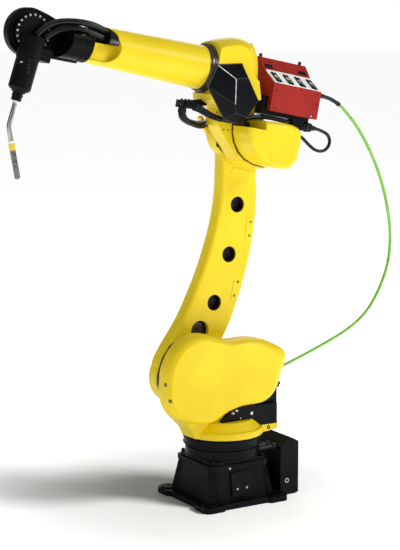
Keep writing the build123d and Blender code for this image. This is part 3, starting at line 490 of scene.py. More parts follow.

# %% [markdown]
# ** Hoses and cables.** The harness, the green liner conduit and the two wrist conduits are flexible and
# of fixed length. Each is one NURBS curve through listed control points with a round bevel, which
# bends smoothly as rubber does. Its own line is read back from the curve, to measure the length and to
# string clips on. A cord that bends across a joint has to be a mesh.

# %% Cords as smooth curves
def smooth_cord(name, link, points, diameter, finish):
    """A NURBS tube along control points given in a link's frame, in metres."""
    curve = bpy.data.curves.new(name, "CURVE")
    curve.dimensions = "3D"
    curve.bevel_depth = diameter / 2
    curve.bevel_resolution, curve.resolution_u = 5, 8
    curve.use_fill_caps = True
    spline = curve.splines.new("NURBS")
    spline.points.add(len(points) - 1)
    for control, point in zip(spline.points, points):
        control.co = (*(link @ Vector(point)), 1)
    spline.order_u = 3
    spline.use_endpoint_u = True
    curve.materials.append(finish.material)
    made = bpy.data.objects.new(name, curve)
    scene.collection.objects.link(made)
    return made


def centre_line(cord):
    """Points along a cord's own line, read from its spline with no bevel."""
    bare = cord.copy()
    bare.data = cord.data.copy()
    bare.data.bevel_depth = 0
    scene.collection.objects.link(bare)
    bpy.context.view_layer.update()
    line = bpy.data.meshes.new_from_object(bare)
    points = [v.co.copy() for v in line.vertices]
    bpy.data.objects.remove(bare)
    return points


def cord_length(points):
    return sum((b - a).length for a, b in zip(points, points[1:]))


def as_tube(cord):
    """The same cord as a mesh, so that it can bend across a joint."""
    data = bpy.data.meshes.new_from_object(cord)
    name = cord.name
    bpy.data.objects.remove(cord)
    data.materials.clear()
    made = bpy.data.objects.new(name, data)
    scene.collection.objects.link(made)
    for polygon in data.polygons:
        polygon.use_smooth = True
    return made


print("cord helpers ready")

# %% [markdown]
# Three cords stay on the elbow: the rubber sleeve that steadies the green conduit where it leaves the
# feeder, the feeder's own loop of cable, and the harness hose that runs behind the faceted cover.

# %% Cords on the elbow
sleeve_points = [
    (-0.2383, 0.078, 0.185), (-0.27, 0.078, 0.185), (-0.306, 0.078, 0.1805), (-0.3408, 0.078, 0.1672)]
loop_points = [
    (-0.2403, 0.063, 0.067), (-0.268, 0.064, 0.068), (-0.299, 0.065, 0.062), (-0.317, 0.067, 0.057),
    (-0.33, 0.068, 0.044), (-0.335, 0.069, 0.026), (-0.33, 0.068, 0.008), (-0.317, 0.067, -0.005),
    (-0.299, 0.065, -0.01), (-0.278, 0.0635, -0.008), (-0.259, 0.062, 0.001), (-0.241, 0.06, 0.012),
    (-0.223, 0.059, 0.024), (-0.205, 0.058, 0.032), (-0.184, 0.058, 0.036), (-0.158, 0.058, 0.036)]
hose_points = [
    (0.253, 0.053, 0.0625), (0.233, 0.054, 0.061), (0.203, 0.059, 0.0485), (0.164, 0.062, 0.038),
    (0.11, 0.063, 0.034), (0.07, 0.063, 0.042), (0.03, 0.063, 0.058), (-0.01, 0.063, 0.07),
    (-0.06, 0.063, 0.0745), (-0.105, 0.063, 0.073), (-0.1497, 0.063, 0.072)]
elbow_cords = [
    ("conduit_sleeve_rubber", "conduit_sleeve", sleeve_points, 0.014, 0.105, "stiff", "taut"),
    ("feeder_loop_cable", "loop_cable", loop_points, 0.012, 0.320, "limp", "loose"),
    ("elbow_harness_hose", "elbow_hose", hose_points, 0.016, 0.412, "medium", "loose"),
]
cord_lines = {}
for name, node, points, diameter, length, stiffness, lay in elbow_cords:
    cord = smooth_cord(name, elbow, points, diameter, jacket)
    line = centre_line(cord)
    cord_lines[name] = line
    print(name, "measures", round(cord_length(line), 3), "m")
    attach(cord, "elbow")
    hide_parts(node)

# %% [markdown]
# The harness loops cross the elbow joint and the wrist conduits cross the wrist. They are made meshes
# and fixed in place across the joint.

# %% Cords across one joint
upper_loop_points = [
    (0.276, 0.012, 0.0517), (0.275, 0.011, 0.034), (0.263, 0.007, 0.018), (0.242, 0.002, 0.011),
    (0.216, -0.005, 0.01), (0.19, -0.015, 0.01), (0.165, -0.029, 0.013), (0.142, -0.044, 0.018),
    (0.124, -0.06, 0.022), (0.115, -0.072, 0.024), (0.1125, -0.0844, 0.0245)]
lower_loop_points = [
    (0.275, 0.033, 0.0517), (0.2735, 0.032, 0.033), (0.26, 0.026, 0.017), (0.237, 0.018, 0.008),
    (0.209, 0.009, 0.003), (0.182, -0.002, 0), (0.158, -0.019, 0.003), (0.134, -0.038, 0.008),
    (0.115, -0.056, 0.011), (0.106, -0.0695, 0.0125), (0.103, -0.0844, 0.013)]
upper_conduit_points = [
    (-0.2538, 0.016, 0.0493), (-0.221, 0.018, 0.0585), (-0.191, 0.019, 0.0625), (-0.16, 0.019, 0.063),
    (-0.118, 0.017, 0.0595), (-0.074, 0.012, 0.05), (-0.044, 0.008, 0.035), (-0.02, 0.005, 0.014),
    (-0.0043, 0.0041, -0.0079)]
lower_conduit_points = [
    (-0.2468, 0.0185, 0.026), (-0.215, 0.02, 0.0335), (-0.18, 0.02, 0.037), (-0.145, 0.019, 0.038),
    (-0.112, 0.016, 0.034), (-0.082, 0.011, 0.024), (-0.056, 0.007, 0.007), (-0.0348, 0.0041, -0.0132)]
over_shoulder, over_elbow = ("lower_arm", "turntable"), ("elbow", "lower_arm")
over_wrist = ("forearm", "wrist")


def blended_cord(tube, line, finish, node):
    """Gives a tube its finish, prints its length, fixes it in place and hides the CAD node it stands for."""
    tube.data.materials.append(finish.material)
    print(tube.name, "measures", round(cord_length(line), 3), "m")
    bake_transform(tube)
    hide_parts(node)


crossing_cords = [
    ("harness_loop_upper", elbow, upper_loop_points, "harness_loops", 0.013, 0.222, "limp", over_elbow),
    ("harness_loop_lower", elbow, lower_loop_points, "harness_loops", 0.013, 0.242, "limp", over_elbow),
    ("wrist_conduit_upper", wrist_axis, upper_conduit_points, "wrist_conduits", 0.022, 0.275, "medium",
     over_wrist),
    ("wrist_conduit_lower", wrist_axis, lower_conduit_points, "wrist_conduits", 0.022, 0.228, "medium",
     over_wrist),
]
for name, link, points, node, diameter, length, stiffness, bodies in crossing_cords:
    curve = smooth_cord(name, link, points, diameter, jacket)
    cord_lines[name] = centre_line(curve)
    blended_cord(as_tube(curve), cord_lines[name], jacket, node)

# %% [markdown]
# ** The green conduit** crosses two joints on its way down from the feeder to the turntable. It is cut at
# its belly into an upper and a lower part.

# %% The green conduit
green_points = [
    (-0.4476, 0.078, 1.4067), (-0.4569, 0.0779, 1.4008), (-0.5209, 0.0766, 1.3385),
    (-0.5786, 0.0746, 1.2594), (-0.6302, 0.0722, 1.1684), (-0.6698, 0.0693, 1.0695),
    (-0.6949, 0.0663, 0.9703), (-0.7029, 0.0641, 0.9018), (-0.7, 0.0616, 0.8261), (-0.6799, 0.0591, 0.7554),
    (-0.6414, 0.0561, 0.6786), (-0.5931, 0.0536, 0.6182), (-0.517, 0.0511, 0.5686),
    (-0.4186, 0.0487, 0.5294), (-0.3389, 0.0468, 0.5002), (-0.2557, 0.045, 0.4718), (-0.2121, 0.044, 0.457),
    (-0.172, 0.043, 0.439), (-0.146, 0.0423, 0.4286), (-0.1183, 0.042, 0.428)]
conduit_diameter = 0.011
belly_share = 0.42


def cut_tube(name, whole, line, first, last):
    """The stretch of a tube from one point of its line to another, closed at both ends."""
    mesh = bmesh.new()
    mesh.from_mesh(whole.data)
    outside = [v for v in mesh.verts
               if not first <= min(range(len(line)), key=lambda index: (line[index] - v.co).length) <= last]
    bmesh.ops.delete(mesh, geom=outside, context="VERTS")
    bmesh.ops.holes_fill(mesh, edges=mesh.edges, sides=0)
    return add_mesh(name, mesh)


green_curve = smooth_cord("green_liner_whole", ground, green_points, conduit_diameter, green)
green_line = centre_line(green_curve)
green_whole = as_tube(green_curve)
belly, foot = int(belly_share * len(green_line)), len(green_line) - 1
for name, first, last, length, bodies in (("green_liner_conduit", 0, belly, 0.656, over_elbow),
                                          ("green_liner_conduit_lower", belly, foot, 0.750, over_shoulder)):
    tube = cut_tube(name, green_whole, green_line, first, last)
    blended_cord(tube, green_line[first:last + 1], green, "green_conduit")
bpy.data.objects.remove(green_whole)

# %% [markdown]
# **Turned parts.** Screws, washers, glands and rings are turned on a lathe, so they are modelled the same
# way: a profile of radius and height is spun about a seat. A hexagon is a circle whose radius swells
# towards its corners. Flat parts are plates cut from an outline. Places on the arm are in metres, as in
# the frame, while profiles, outlines and lifts are in millimetres, as in a workshop.

# %% Kits of small parts
class Kit:
    """Small parts of one finish on one link, gathered in one mesh; with no link, it is left unattached."""

    def __init__(self, name, body, finish, slot=None):
        self.name, self.body, self.finish, self.slot = name, body, finish, slot or finish.slot
        self.mesh = bmesh.new()
        self.count = 0

    def turn(self, seat, profile, sides=24):
        """A closed turned part. A profile point is (radius, height), with True after it for a hexagon."""
        rows = []
        for radius, height, *hexagon in profile:
            if radius == 0:
                rows.append([self.mesh.verts.new(seat @ Vector((0, 0, height * mm)))])
                continue
            row = []
            for step in range(sides):
                angle = 2 * pi * step / sides
                swell = cos(pi / 6) / cos((angle % (pi / 3)) - pi / 6) if hexagon else 1
                x, y = radius * mm * swell * cos(angle), radius * mm * swell * sin(angle)
                row.append(self.mesh.verts.new(seat @ Vector((x, y, height * mm))))
            rows.append(row)
        for below, above in zip(rows, rows[1:]):
            for step in range(sides):
                after = (step + 1) % sides
                corners = [below[step % len(below)], below[after % len(below)],
                           above[after % len(above)], above[step % len(above)]]
                corners = list(dict.fromkeys(corners))
                if len(corners) > 2:
                    self.mesh.faces.new(corners)
        self.count += 1

    def plate(self, seat, outline, thickness, edge=0.0):
        """A closed plate from a flat outline; edge is the share by which its rim is bevelled."""
        middle = sum((Vector(p) for p in outline), Vector((0, 0))) / len(outline)
        inset = [middle + (Vector(p) - middle) * (1 - edge) for p in outline]
        rows = [[self.mesh.verts.new(seat @ (Vector((p[0], p[1], height)) * mm)) for p in row]
                for row, height in ((outline, 0), (outline, thickness * (1 - edge)), (inset, thickness))]
        for below, above in zip(rows, rows[1:]):
            for step in range(len(outline)):
                after = (step + 1) % len(outline)
                self.mesh.faces.new((below[step], below[after], above[after], above[step]))
        self.mesh.faces.new(rows[0])
        self.mesh.faces.new(rows[-1])
        self.count += 1

    def add(self, stands_for=()):
        """The finished piece, riding on its link."""
        bmesh.ops.remove_doubles(self.mesh, verts=self.mesh.verts, dist=1e-6)
        bmesh.ops.recalc_face_normals(self.mesh, faces=self.mesh.faces)
        piece = add_mesh(self.name, self.mesh, self.finish.material)
        for polygon in piece.data.polygons:
            polygon.use_smooth = True
        piece.data.set_sharp_from_angle(angle=radians(32))
        if self.body is not None:
            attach(piece, self.body)
        if stands_for:
            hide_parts(*stands_for)
        print(self.name, self.count, "parts,", len(piece.data.polygons), "polygons")
        return piece


def turned_piece(name, body, finish, *parts, slot=None, stands_for=()):
    """One piece of turned parts alone, each given as a seat, a profile and, where it is large, its sides."""
    kit = Kit(name, body, finish, slot)
    for seat, profile, *sides in parts:
        kit.turn(seat, profile, *sides)
    return kit.add(stands_for)


print("lathe ready")

# %% [markdown]
# Fasteners come in a few patterns, so each pattern is a profile with its radius and height left open. A
# part sinks a little into the face below it, so that no light shows under it.

# %% Profiles
def socket_screw(radius, height, sink=1):
    """Profile of a cap screw with a hexagon socket."""
    floor_height = height * 0.35
    return [(0, -sink), (radius, -sink), (radius, height * 0.82), (radius * 0.9, height),
            (radius * 0.60, height, True), (radius * 0.56, floor_height, True), (0, floor_height)]


def hex_bolt(radius, height, sink=1):
    """Profile of a hexagon bolt on a washer."""
    washer, across_corners = radius * 1.55, radius * 1.08
    return [(0, -sink), (washer, -sink), (washer, height * 0.22), (radius * 1.5, height * 0.28),
            (across_corners, height * 0.28, True), (across_corners, height * 0.88, True),
            (radius * 0.92, height, True), (0, height)]


def ring_profile(inner, outer, height, sink=0.5):
    """Profile of a ring with rounded shoulders; it closes on itself."""
    soft = min(height, outer - inner) * 0.28
    return [(inner, -sink), (outer, -sink), (outer, height - soft), (outer - soft, height),
            (inner + soft, height), (inner, height - soft), (inner, -sink)]


def sunk_screw(radius):
    """A dark countersunk screw in a round pocket: a low collar around a socket."""
    return [(0, -1), (radius * 1.35, -1), (radius * 1.35, 0.15), (radius * 1.2, 0.45), (radius, 0.1),
            (radius * 0.55, 0.3, True), (radius * 0.5, -0.8, True), (0, -0.8)]


print("socket depth of a 10 mm screw head", 10 - socket_screw(8, 10)[-1][1], "mm")

# %% [markdown]
# A fitting needs a seat: a place on a face and the direction that it looks. Where the photograph shows a
# screw, a line is cast from the camera through that place in the picture, until it meets the casting.
# Elsewhere a line is cast from a metre off to the side, or the seat is given on a link's axis. The arm
# reaches forwards, and its left side faces the camera.

# %% Seats
forwards, rearwards, leftwards, rightwards, upwards = (1, 0, 0), (-1, 0, 0), (0, 1, 0), (0, -1, 0), (0, 0, 1)
one_metre_off = 1.0
trees = {name: BVHTree.FromPolygons([v.co for v in o.data.vertices], [p.vertices for p in o.data.polygons])
         for name, o in nodes.items()}


def strike(start, way, names):
    """Where a straight line first meets one of these CAD nodes, as a seat that faces outwards."""
    found = [hit for hit in (trees[name].ray_cast(Vector(start), Vector(way).normalized()) for name in names)
             if hit[0] is not None]
    place, normal, _, _ = min(found, key=lambda hit: hit[3])
    if normal.dot(Vector(way)) > 0:
        normal = -normal
    return Matrix.Translation(place) @ normal.to_track_quat("Z", "X").to_matrix().to_4x4()


def seen_at(x, y, *names):
    """The seat that shows at a place in the picture, on one of these CAD nodes."""
    right_of_middle, below_middle = x - image_width / 2, y - image_height / 2
    way = ahead + to_right * right_of_middle / focal_pixels - upward * below_middle / focal_pixels
    return strike(eye, way, names)


def axis_seat(link, place, way, across=forwards):
    """A seat at a place in a link's frame whose height runs along a direction of that frame."""
    z = Vector(way).normalized()
    x = Vector(across)
    if abs(x.normalized().dot(z)) > 0.95:
        x = Vector(leftwards)
    y = z.cross(x).normalized()
    x = y.cross(z)
    turned = Matrix((x, y, z)).transposed().to_4x4()
    return link @ Matrix.Translation(place) @ turned


def near_seat(link, x, z, y):
    """A seat on a face that looks to the arm's left; its own X runs to the rear and its own Y up."""
    return link @ Matrix.Translation((x, y, z)) @ Matrix(((-1, 0, 0), (0, 0, 1), (0, 1, 0))).to_4x4()


def along(start, run):
    """A seat at a point, facing along a direction."""
    return Matrix.Translation(start) @ run.to_track_quat("Z", "X").to_matrix().to_4x4()


def along_line(line, index, way=1):
    """A seat on a cord's own line, facing along it."""
    return along(line[index], line[index + way] - line[index])


def lift(seat, x, y, height):
    """The same seat, moved over its own face by millimetres."""
    return seat @ Matrix.Translation(Vector((x, y, height)) * mm)


print("seats on", len(trees), "nodes")

# %% [markdown]
# **Base fittings.** The access cover is held by two bright screws, and the box behind has an earth stud.
# The casting is bolted together under the deck corners. A rubber lip closes the gap under the turntable,
# and hexagon glands grip the two hoses.

# %% Base fittings
cover_screws_in_picture = ((237.4, 488.9, "side_cover"), (246.6, 487.2, "side_cover"),
                           (229.6, 468.6, "base_casting"))
earth_in_picture = (286.7, 480.3)
earth = seen_at(*earth_in_picture, "connector_box")
turned_piece("base_bright_screws", "base", zinc,
             *[(seen_at(x, y, node), socket_screw(4.2, 3.2)) for x, y, node in cover_screws_in_picture],
             (earth, ring_profile(5.5, 9, 2.4)))

corner_reach, deck_top = 0.103, 0.162
deck_half, side_screw_reach, side_screw_height = 0.1195, 0.060, 0.142
base_dark = Kit("base_deck_screws", "base", oxide)
base_dark.turn(earth, hex_bolt(3.4, 5))
for x_side in (-1, 1):
    for y_side in (-1, 1):
        deck_corner = axis_seat(ground, (corner_reach * x_side, corner_reach * y_side, deck_top), upwards)
        deck_side = axis_seat(ground, (deck_half * x_side, side_screw_reach * y_side, side_screw_height),
                              (x_side, 0, 0))
        base_dark.turn(deck_corner, socket_screw(6, 7))
        base_dark.turn(deck_side, socket_screw(4, 2.6, 6))
for y in (-0.085, 0.085):
    for z in (0.035, 0.10, 0.165):
        base_dark.turn(strike((-one_metre_off, y, z), forwards, ["connector_cover"]), socket_screw(4, 3))
blanking_plug = [(0, -1), (17, -1), (17, 2), (15.5, 3), (14, 3, True), (14, 8, True), (12.5, 9.5), (0, 9.5)]
for y in (-0.045, 0.045):
    base_dark.turn(strike((-one_metre_off, y, 0.120), forwards, ["connector_cover"]), blanking_plug)
base_dark.add()

lip_place, gland_rear, gland_height = (0, 0, 0.236), -0.176, 0.178
hose_gland = [(8.3, 0), (13, 0, True), (13, 7, True), (11, 8), (10.5, 13), (8.3, 15), (8.3, 0)]
turned_piece("base_seals_and_glands", "base", moulded,
             (axis_seat(ground, lip_place, upwards), ring_profile(128, 137.5, 4.5), 96),
             *[(axis_seat(ground, (gland_rear, y, gland_height), forwards), hose_gland)
               for y in (0.041, 0.077)])

# %% [markdown]
# **Ring ribs.** The black swivel ring shows fine turned steps. They are rings laid on its wall, spun
# with many sides so that their silhouette stays round.

# %% Swivel ring steps
lower_wall, upper_wall, step_depth = 133.5, 139.5, 2.6
ring_steps = Kit("swivel_ring_steps", "base", black)
for level, wall, height in ((0.163, lower_wall, 5), (0.207, upper_wall, 3), (0.229, upper_wall, 4)):
    step_profile = ring_profile(wall, wall + step_depth, height, 0)
    ring_steps.turn(axis_seat(ground, (0, 0, level), upwards), step_profile, sides=96)
ring_steps.add()

# %% [markdown]
# **Turntable screws.** Dark screws hold the big shell, the far cover and the lid of the terminal box, and
# four more hold the swivel motor down on its flange.

# %% Turntable screws
shell_screws_in_picture, tail_screw_in_picture = ((165.6, 385.0), (170.2, 401.4)), (268.5, 427.0)
motor_top = 0.2673 + 0.144
shell_screws = Kit("shell_screws", "turntable", moulded)
for x, y in shell_screws_in_picture:
    shell_screws.turn(seen_at(x, y, "shoulder_shell"), sunk_screw(5))
shell_screws.turn(seen_at(*tail_screw_in_picture, "turntable_casting"), sunk_screw(5.5))
for x, z in ((-0.10, 0.40), (0.10, 0.30), (0.22, 0.50)):
    far_side = strike((x, -one_metre_off, z), leftwards, ["turntable_casting", "shoulder_shell"])
    shell_screws.turn(far_side, socket_screw(4, 3))
for x in (-0.217, -0.157):
    for y in (-0.029, 0.007):
        shell_screws.turn(axis_seat(ground, (x, y, motor_top), upwards), socket_screw(3.2, 3.4))
for z in (0.29, 0.33, 0.37):
    for y in (0.027, 0.055):
        box_lid = strike((-one_metre_off, y, z), forwards, ["terminal_box"])
        shell_screws.turn(box_lid, socket_screw(2.8, 2.4))
shell_screws.add()

# %% [markdown]
# **Terminal box, motor and gland.** The terminal box shows a round port, two bright hose fittings and a
# small screw. The swivel motor has two plugs at its back and cooling fins round it. A gland nut grips the
# green conduit where it enters the casting.

# %% Terminal box, swivel motor and gland
port_in_picture, box_screw_in_picture = (251.7, 413.1), (240.3, 418.3)
fittings_in_picture = ((232.1, 412.9), (235.7, 410.3))
port = [(0, -1), (6.5, -1), (6.5, 1.5), (5.6, 2.4), (4.6, 2.4), (4.4, 0.8), (2.4, 0.8), (2.2, 2), (0, 2.2)]
hose_fitting = [(0, -1), (5.4, -1, True), (5.4, 5, True), (3.8, 5.6), (3.6, 10), (2.6, 11), (0, 11)]
turned_piece("terminal_port", "turntable", zinc, (seen_at(*port_in_picture, "terminal_box"), port))
turned_piece("terminal_fittings", "turntable", zinc,
             *[(seen_at(x, y, "terminal_box"), hose_fitting) for x, y in fittings_in_picture],
             (seen_at(*box_screw_in_picture, "terminal_box"), socket_screw(2.8, 2.4)))

motor_middle, motor_back, plug_height, plug_way = (-0.187, -0.009), -0.221, 0.384, (-1, 0, 0.35)
first_fin, fin_spacing, fin_thickness = 0.285, 0.016, 4
motor_plugs = Kit("swivel_motor_plugs", "turntable", moulded)
plug = [(0, -3), (11, -3), (11, 6), (12, 8), (12, 16), (10, 18), (7, 19), (6, 27), (0, 27)]
for y in (-0.025, 0.004):
    motor_plugs.turn(axis_seat(ground, (motor_back, y, plug_height), plug_way, leftwards), plug)
fin = [(-36.04, -28.08), (36.04, -28.08), (36.04, 23.76), (-36.04, 23.76)]
for level in range(6):
    fin_place = (*motor_middle, first_fin + fin_spacing * level)
    motor_plugs.plate(Matrix.Translation(fin_place), fin, fin_thickness, 0.02)
motor_plugs.add()

gland_nut = [(0, 0), (7, 0), (9.5, 2), (10, 5), (11.5, 6, True), (11.5, 13, True), (12, 14), (12, 17.7),
             (0, 17.7)]
gland_place = (-0.118, 0.042, 0.428)
turned_piece("conduit_gland_nut", "turntable", moulded,
             (axis_seat(ground, gland_place, forwards), gland_nut), stands_for=["conduit_gland"])

# %% [markdown]
# **Lower arm fittings.** Small screws sit in the cast pads along the rear edge. On the far side the two
# gearboxes are bolted through the arm from outside, so each shows a circle of bolts round a round cap.

# %% Lower arm fittings
def bolt_circle(kit, seat, radius, count, profile, start=0.0):
    """The same turned part repeated round a seat."""
    for x, y in circle(radius, count, start):
        kit.turn(lift(seat, x, y, 0), profile)


pad_screws_in_picture = ((250.6, 222.0), (249.2, 235.6), (237.8, 282.0), (234.2, 295.6), (188.6, 337.0))
plug_in_picture = (199.3, 330.2)
far_face = -0.105
shoulder_far = axis_seat(shoulder, (0, far_face, 0), rightwards)
elbow_far = axis_seat(elbow, (0, far_face, 0), rightwards)
arm_screws = Kit("lower_arm_screws", "lower_arm", oxide)
for x, y in pad_screws_in_picture:
    arm_screws.turn(seen_at(x, y, "lower_arm"), sunk_screw(3.4))
bolt_circle(arm_screws, shoulder_far, 66, 12, socket_screw(5.5, 5))
bolt_circle(arm_screws, elbow_far, 56, 10, socket_screw(5, 4.5))
arm_screws.add()


def dished_cap(radius):
    """Profile of a round cap with a raised rim."""
    return [(0, -1), (radius, -1), (radius, 4), (radius - 2, 6), (radius - 9, 6), (radius - 11, 4), (0, 4)]


turned_piece("lower_arm_caps", "lower_arm", yellow,
             (shoulder_far, dished_cap(50), 64), (elbow_far, dished_cap(42), 64))
hub = [(0, -1), (13, -1), (13, 3), (11.5, 4), (8, 4), (7.4, 2), (5, 2), (4.6, 5), (0, 5.5)]
turned_piece("arm_plug_hub", "lower_arm", seal, (seen_at(*plug_in_picture, "arm_plug", "lower_arm"), hub))

# %% [markdown]
# **Elbow trim.** A brown gasket shows round the black faceted cover, and seals with two lips close the
# forearm's turning gap. The cover's outline is given in shares of one length, as it was drawn.

# %% Elbow gasket and seal lips
casing_unit = 0.212
facet_outline = [(0.953, 1.019), (0.495, 1.118), (0.075, 0.575), (0.316, 0.146), (0.66, 0.179), (1.08, 0.642)]
gasket_size, gasket_thickness, facet_foot = 1.018, 2.4, 0.0837
middle_x = sum(x for x, _ in facet_outline) / len(facet_outline)
middle_z = sum(z for _, z in facet_outline) / len(facet_outline)
gasket_outline = [(-casing_unit * (middle_x + (x - middle_x) * gasket_size) / mm,
                   casing_unit * (middle_z + (z - middle_z) * gasket_size) / mm) for x, z in facet_outline]
gasket = Kit("faceted_cover_gasket", "elbow", seal)
gasket.plate(near_seat(elbow, 0, 0, facet_foot), gasket_outline, gasket_thickness, 0.01)
for start, height in ((0.1980, 3.2), (0.2032, 3.6), (0.2084, 3.0)):
    gasket.turn(axis_seat(forearm, (start, 0, 0), forwards), ring_profile(82.5, 85.8, height, 0), sides=96)
gasket.add()
root_ring = Kit("forearm_root_ring", "forearm", seal)
for start, outer, height in ((0.2122, 83.2, 8.5), (0.2206, 79.8, 3.5)):
    root_ring.turn(axis_seat(forearm, (start, 0, 0), forwards), ring_profile(74, outer, height, 0), sides=96)
root_ring.add()

# %% [markdown]
# ** Ridges of the faceted cover.** The cover is cast with flat facets that meet in ridges. A thin round
# bead along each one catches the lamps as the rubbed metal does. Two of the beads carry a painted highlight.

# %% Ridges of the faceted cover
facet_tops = [(0.667, 0.84), (0.44, 0.90), (0.17, 0.57), (0.34, 0.27), (0.56, 0.30), (0.60, 0.44)]
ridge_foot, ridge_top = 0.0843, 0.1219
outer_corners = [elbow @ Vector((casing_unit * x, ridge_foot, casing_unit * z)) for x, z in facet_outline]
top_corners = [elbow @ Vector((casing_unit * x, ridge_top, casing_unit * z)) for x, z in facet_tops]
ridges = Kit("faceted_cover_ridges", "elbow", ridge)
painted_highlight_ridges = Kit("faceted_cover_painted_highlight_ridges", "elbow", painted_highlight_ridge)
for index in range(6):
    after = (index + 1) % 6
    for start, end, has_painted_highlight in ((top_corners[index], top_corners[after], after == 0),
                                  (top_corners[index], outer_corners[index], index == 0)):
        # The two brightest ridges get thicker beads in the painted highlight finish.
        kit, radius = (painted_highlight_ridges, 1.5) if has_painted_highlight else (ridges, 0.8)
        length = (end - start).length / mm
        kit.turn(along(start, end - start), [(0, 0), (radius, 0), (radius, length), (0, length)], sides=10)
ridges.add()
painted_highlight_ridges.add()

# %% [markdown]
# **Elbow screws.** Four small sunk screws show round the dome. The far side is guessed: six cap screws
# and a round bolted cover, as such arms have. A screw plug closes the grease hole on top of the dome.

# %% Elbow screws and plugs
dome_screws_in_picture = ((223.7, 129.8), (228.0, 130.0), (212.9, 94.8), (216.6, 112.0))
dome_plug_in_picture = (226.0, 45.3)
elbow_screws = Kit("elbow_screws", "elbow", oxide)
for x, y in dome_screws_in_picture:
    elbow_screws.turn(seen_at(x, y, "elbow_casing"), sunk_screw(2.6))
for x, z in ((-0.12, -0.05), (-0.12, 0.03), (-0.03, -0.08), (0.10, 0.02), (0.15, 0.12), (0.06, 0.13)):
    far_side = strike(elbow @ Vector((x, -0.3, z)), leftwards, ["elbow_casing", "elbow_motor_cover"])
    elbow_screws.turn(far_side, socket_screw(3.6, 3.2))
elbow_screws.add()
far_cover_place = (0.10, -0.08, 0.24)
far_cover = [(0, -6), (36, -6), (36, 3), (34, 5), (0, 5)]
turned_piece("dome_plug", "elbow", yellow,
             (seen_at(*dome_plug_in_picture, "elbow_casing"), socket_screw(4.5, 1.6)),
             (axis_seat(elbow, far_cover_place, rightwards), far_cover, 48))

# %% [markdown]
# **Clips.** Rings round the harness hose hold it to the casing. Where the hose and the two loops leave
# the clamp, each has a collar, and the clamp itself is two saddles under hexagon bolts.

# %% Clips on the harness hose, and the clamp's bolts
hose_line = cord_lines["elbow_harness_hose"]
clips = Kit("harness_clips", "elbow", moulded)
for index in (6, 22, 40, 60):
    clips.turn(along_line(hose_line, index), ring_profile(7.6, 10, 9, 0))
for name in ("harness_loop_upper", "harness_loop_lower"):
    clips.turn(along_line(cord_lines[name], 1), ring_profile(6.2, 9, 14, 2))
clamp_middle, clamp_top, saddle_front, saddle_height = 0.269, 0.078, 0.284, 0.064
for y in (0.000, 0.024, 0.045):
    clips.turn(axis_seat(elbow, (clamp_middle, y, clamp_top), upwards), hex_bolt(4, 6))
saddle = [(-12, -6), (12, -6), (12, 6), (7, 13), (-7, 13), (-12, 6)]
for y in (0.012, 0.034):
    clips.plate(axis_seat(elbow, (saddle_front, y, saddle_height), forwards, leftwards), saddle, 5, 0.12)
clips.add()

# %% [markdown]
# **Feeder windows.** Behind each window of the white plate sit the wire rolls, which an operator checks
# at a glance. The window is a thin black frame around a dark well; in it are a grooved steel roll, its
# pressure screw and a plain round dial. Frames and wells are plates, the rolls are turned.

# %% Feeder windows
def rounded_rectangle(width, height, radius, steps=4):
    """Outline of a rectangle with round corners."""
    outline = []
    for x_side, y_side, first in ((1, 1, 0), (-1, 1, 90), (-1, -1, 180), (1, -1, 270)):
        middle = (x_side * (width / 2 - radius), y_side * (height / 2 - radius))
        for step in range(steps + 1):
            angle = radians(first + 90 * step / steps)
            outline.append((middle[0] + radius * cos(angle), middle[1] + radius * sin(angle)))
    return outline


window_face = axis_seat(elbow, (-0.135, 0.100, 0.195), (0, 46, 80), rearwards)
window_spacing, window_middle, panel_top = 51.5, 38, 3.3
window_width, window_height, frame_bar, frame_rise = 21.4, 61, 1.8, 2.4
roll = [(0, -0.5), (8.4, -0.5), (8.4, 0.8), (7.2, 1.4), (8.4, 2.0), (8.2, 3.0), (3.4, 3.2), (3, 2.4, True),
        (0, 2.4)]
dial = [(0, -0.5), (7, -0.5), (7, 1.2), (6.2, 1.8), (5.6, 1.2), (0, 1.2)]
pointer = [(-0.5, -4.6), (0.5, -4.6), (2.6, 4), (1.6, 4.4)]


def in_window(window, x, y, height):
    """A seat over the middle of one of the four windows."""
    across = (window - 1.5) * window_spacing
    return lift(window_face, across + x, window_middle + y, panel_top + height)


wells = Kit("feeder_window_wells", "elbow", moulded)
rims = Kit("feeder_window_rims", "elbow", oxide)
rolls = Kit("feeder_wire_rolls", "elbow", zinc)
dials = Kit("feeder_dials", "elbow", oxide)
for window in range(4):
    wells.plate(in_window(window, 0, 0, -0.4), rounded_rectangle(window_width, window_height, 2), 1.0, 0.02)
    for side in (-1, 1):
        upright = rounded_rectangle(frame_bar, window_height, 0.8, 2)
        crossbar = rounded_rectangle(window_width + 2, frame_bar, 0.8, 2)
        rims.plate(in_window(window, side * 10.9, 0, -0.2), upright, frame_rise, 0.1)
        rims.plate(in_window(window, 0, side * 30.4, -0.2), crossbar, frame_rise, 0.1)
    rolls.turn(in_window(window, 0, 4, 0.6), roll)
    rolls.turn(in_window(window, 4, -12, 0.6), socket_screw(3, 2.6))
    wells.turn(in_window(window, -3, -20, 0.5), ring_profile(2.5, 6.5, 2.6))
    dials.turn(in_window(window, -1, 20, 0.6), dial)
    rolls.plate(in_window(window, -1, 20, 1.6), pointer, 0.6)
    rims.turn(in_window(window, 0, 38.2, -0.3), socket_screw(1.7, 1.3))
for kit in (wells, rims, rolls, dials):
    kit.add()

# %% [markdown]
# **Latches and knobs.** The lid is closed by two finger pulls: a dish with upright ribs for grip. On top
# stand two knobs. The flutes of a knob make a star-shaped outline, so its head is a plate, not a lathe part.

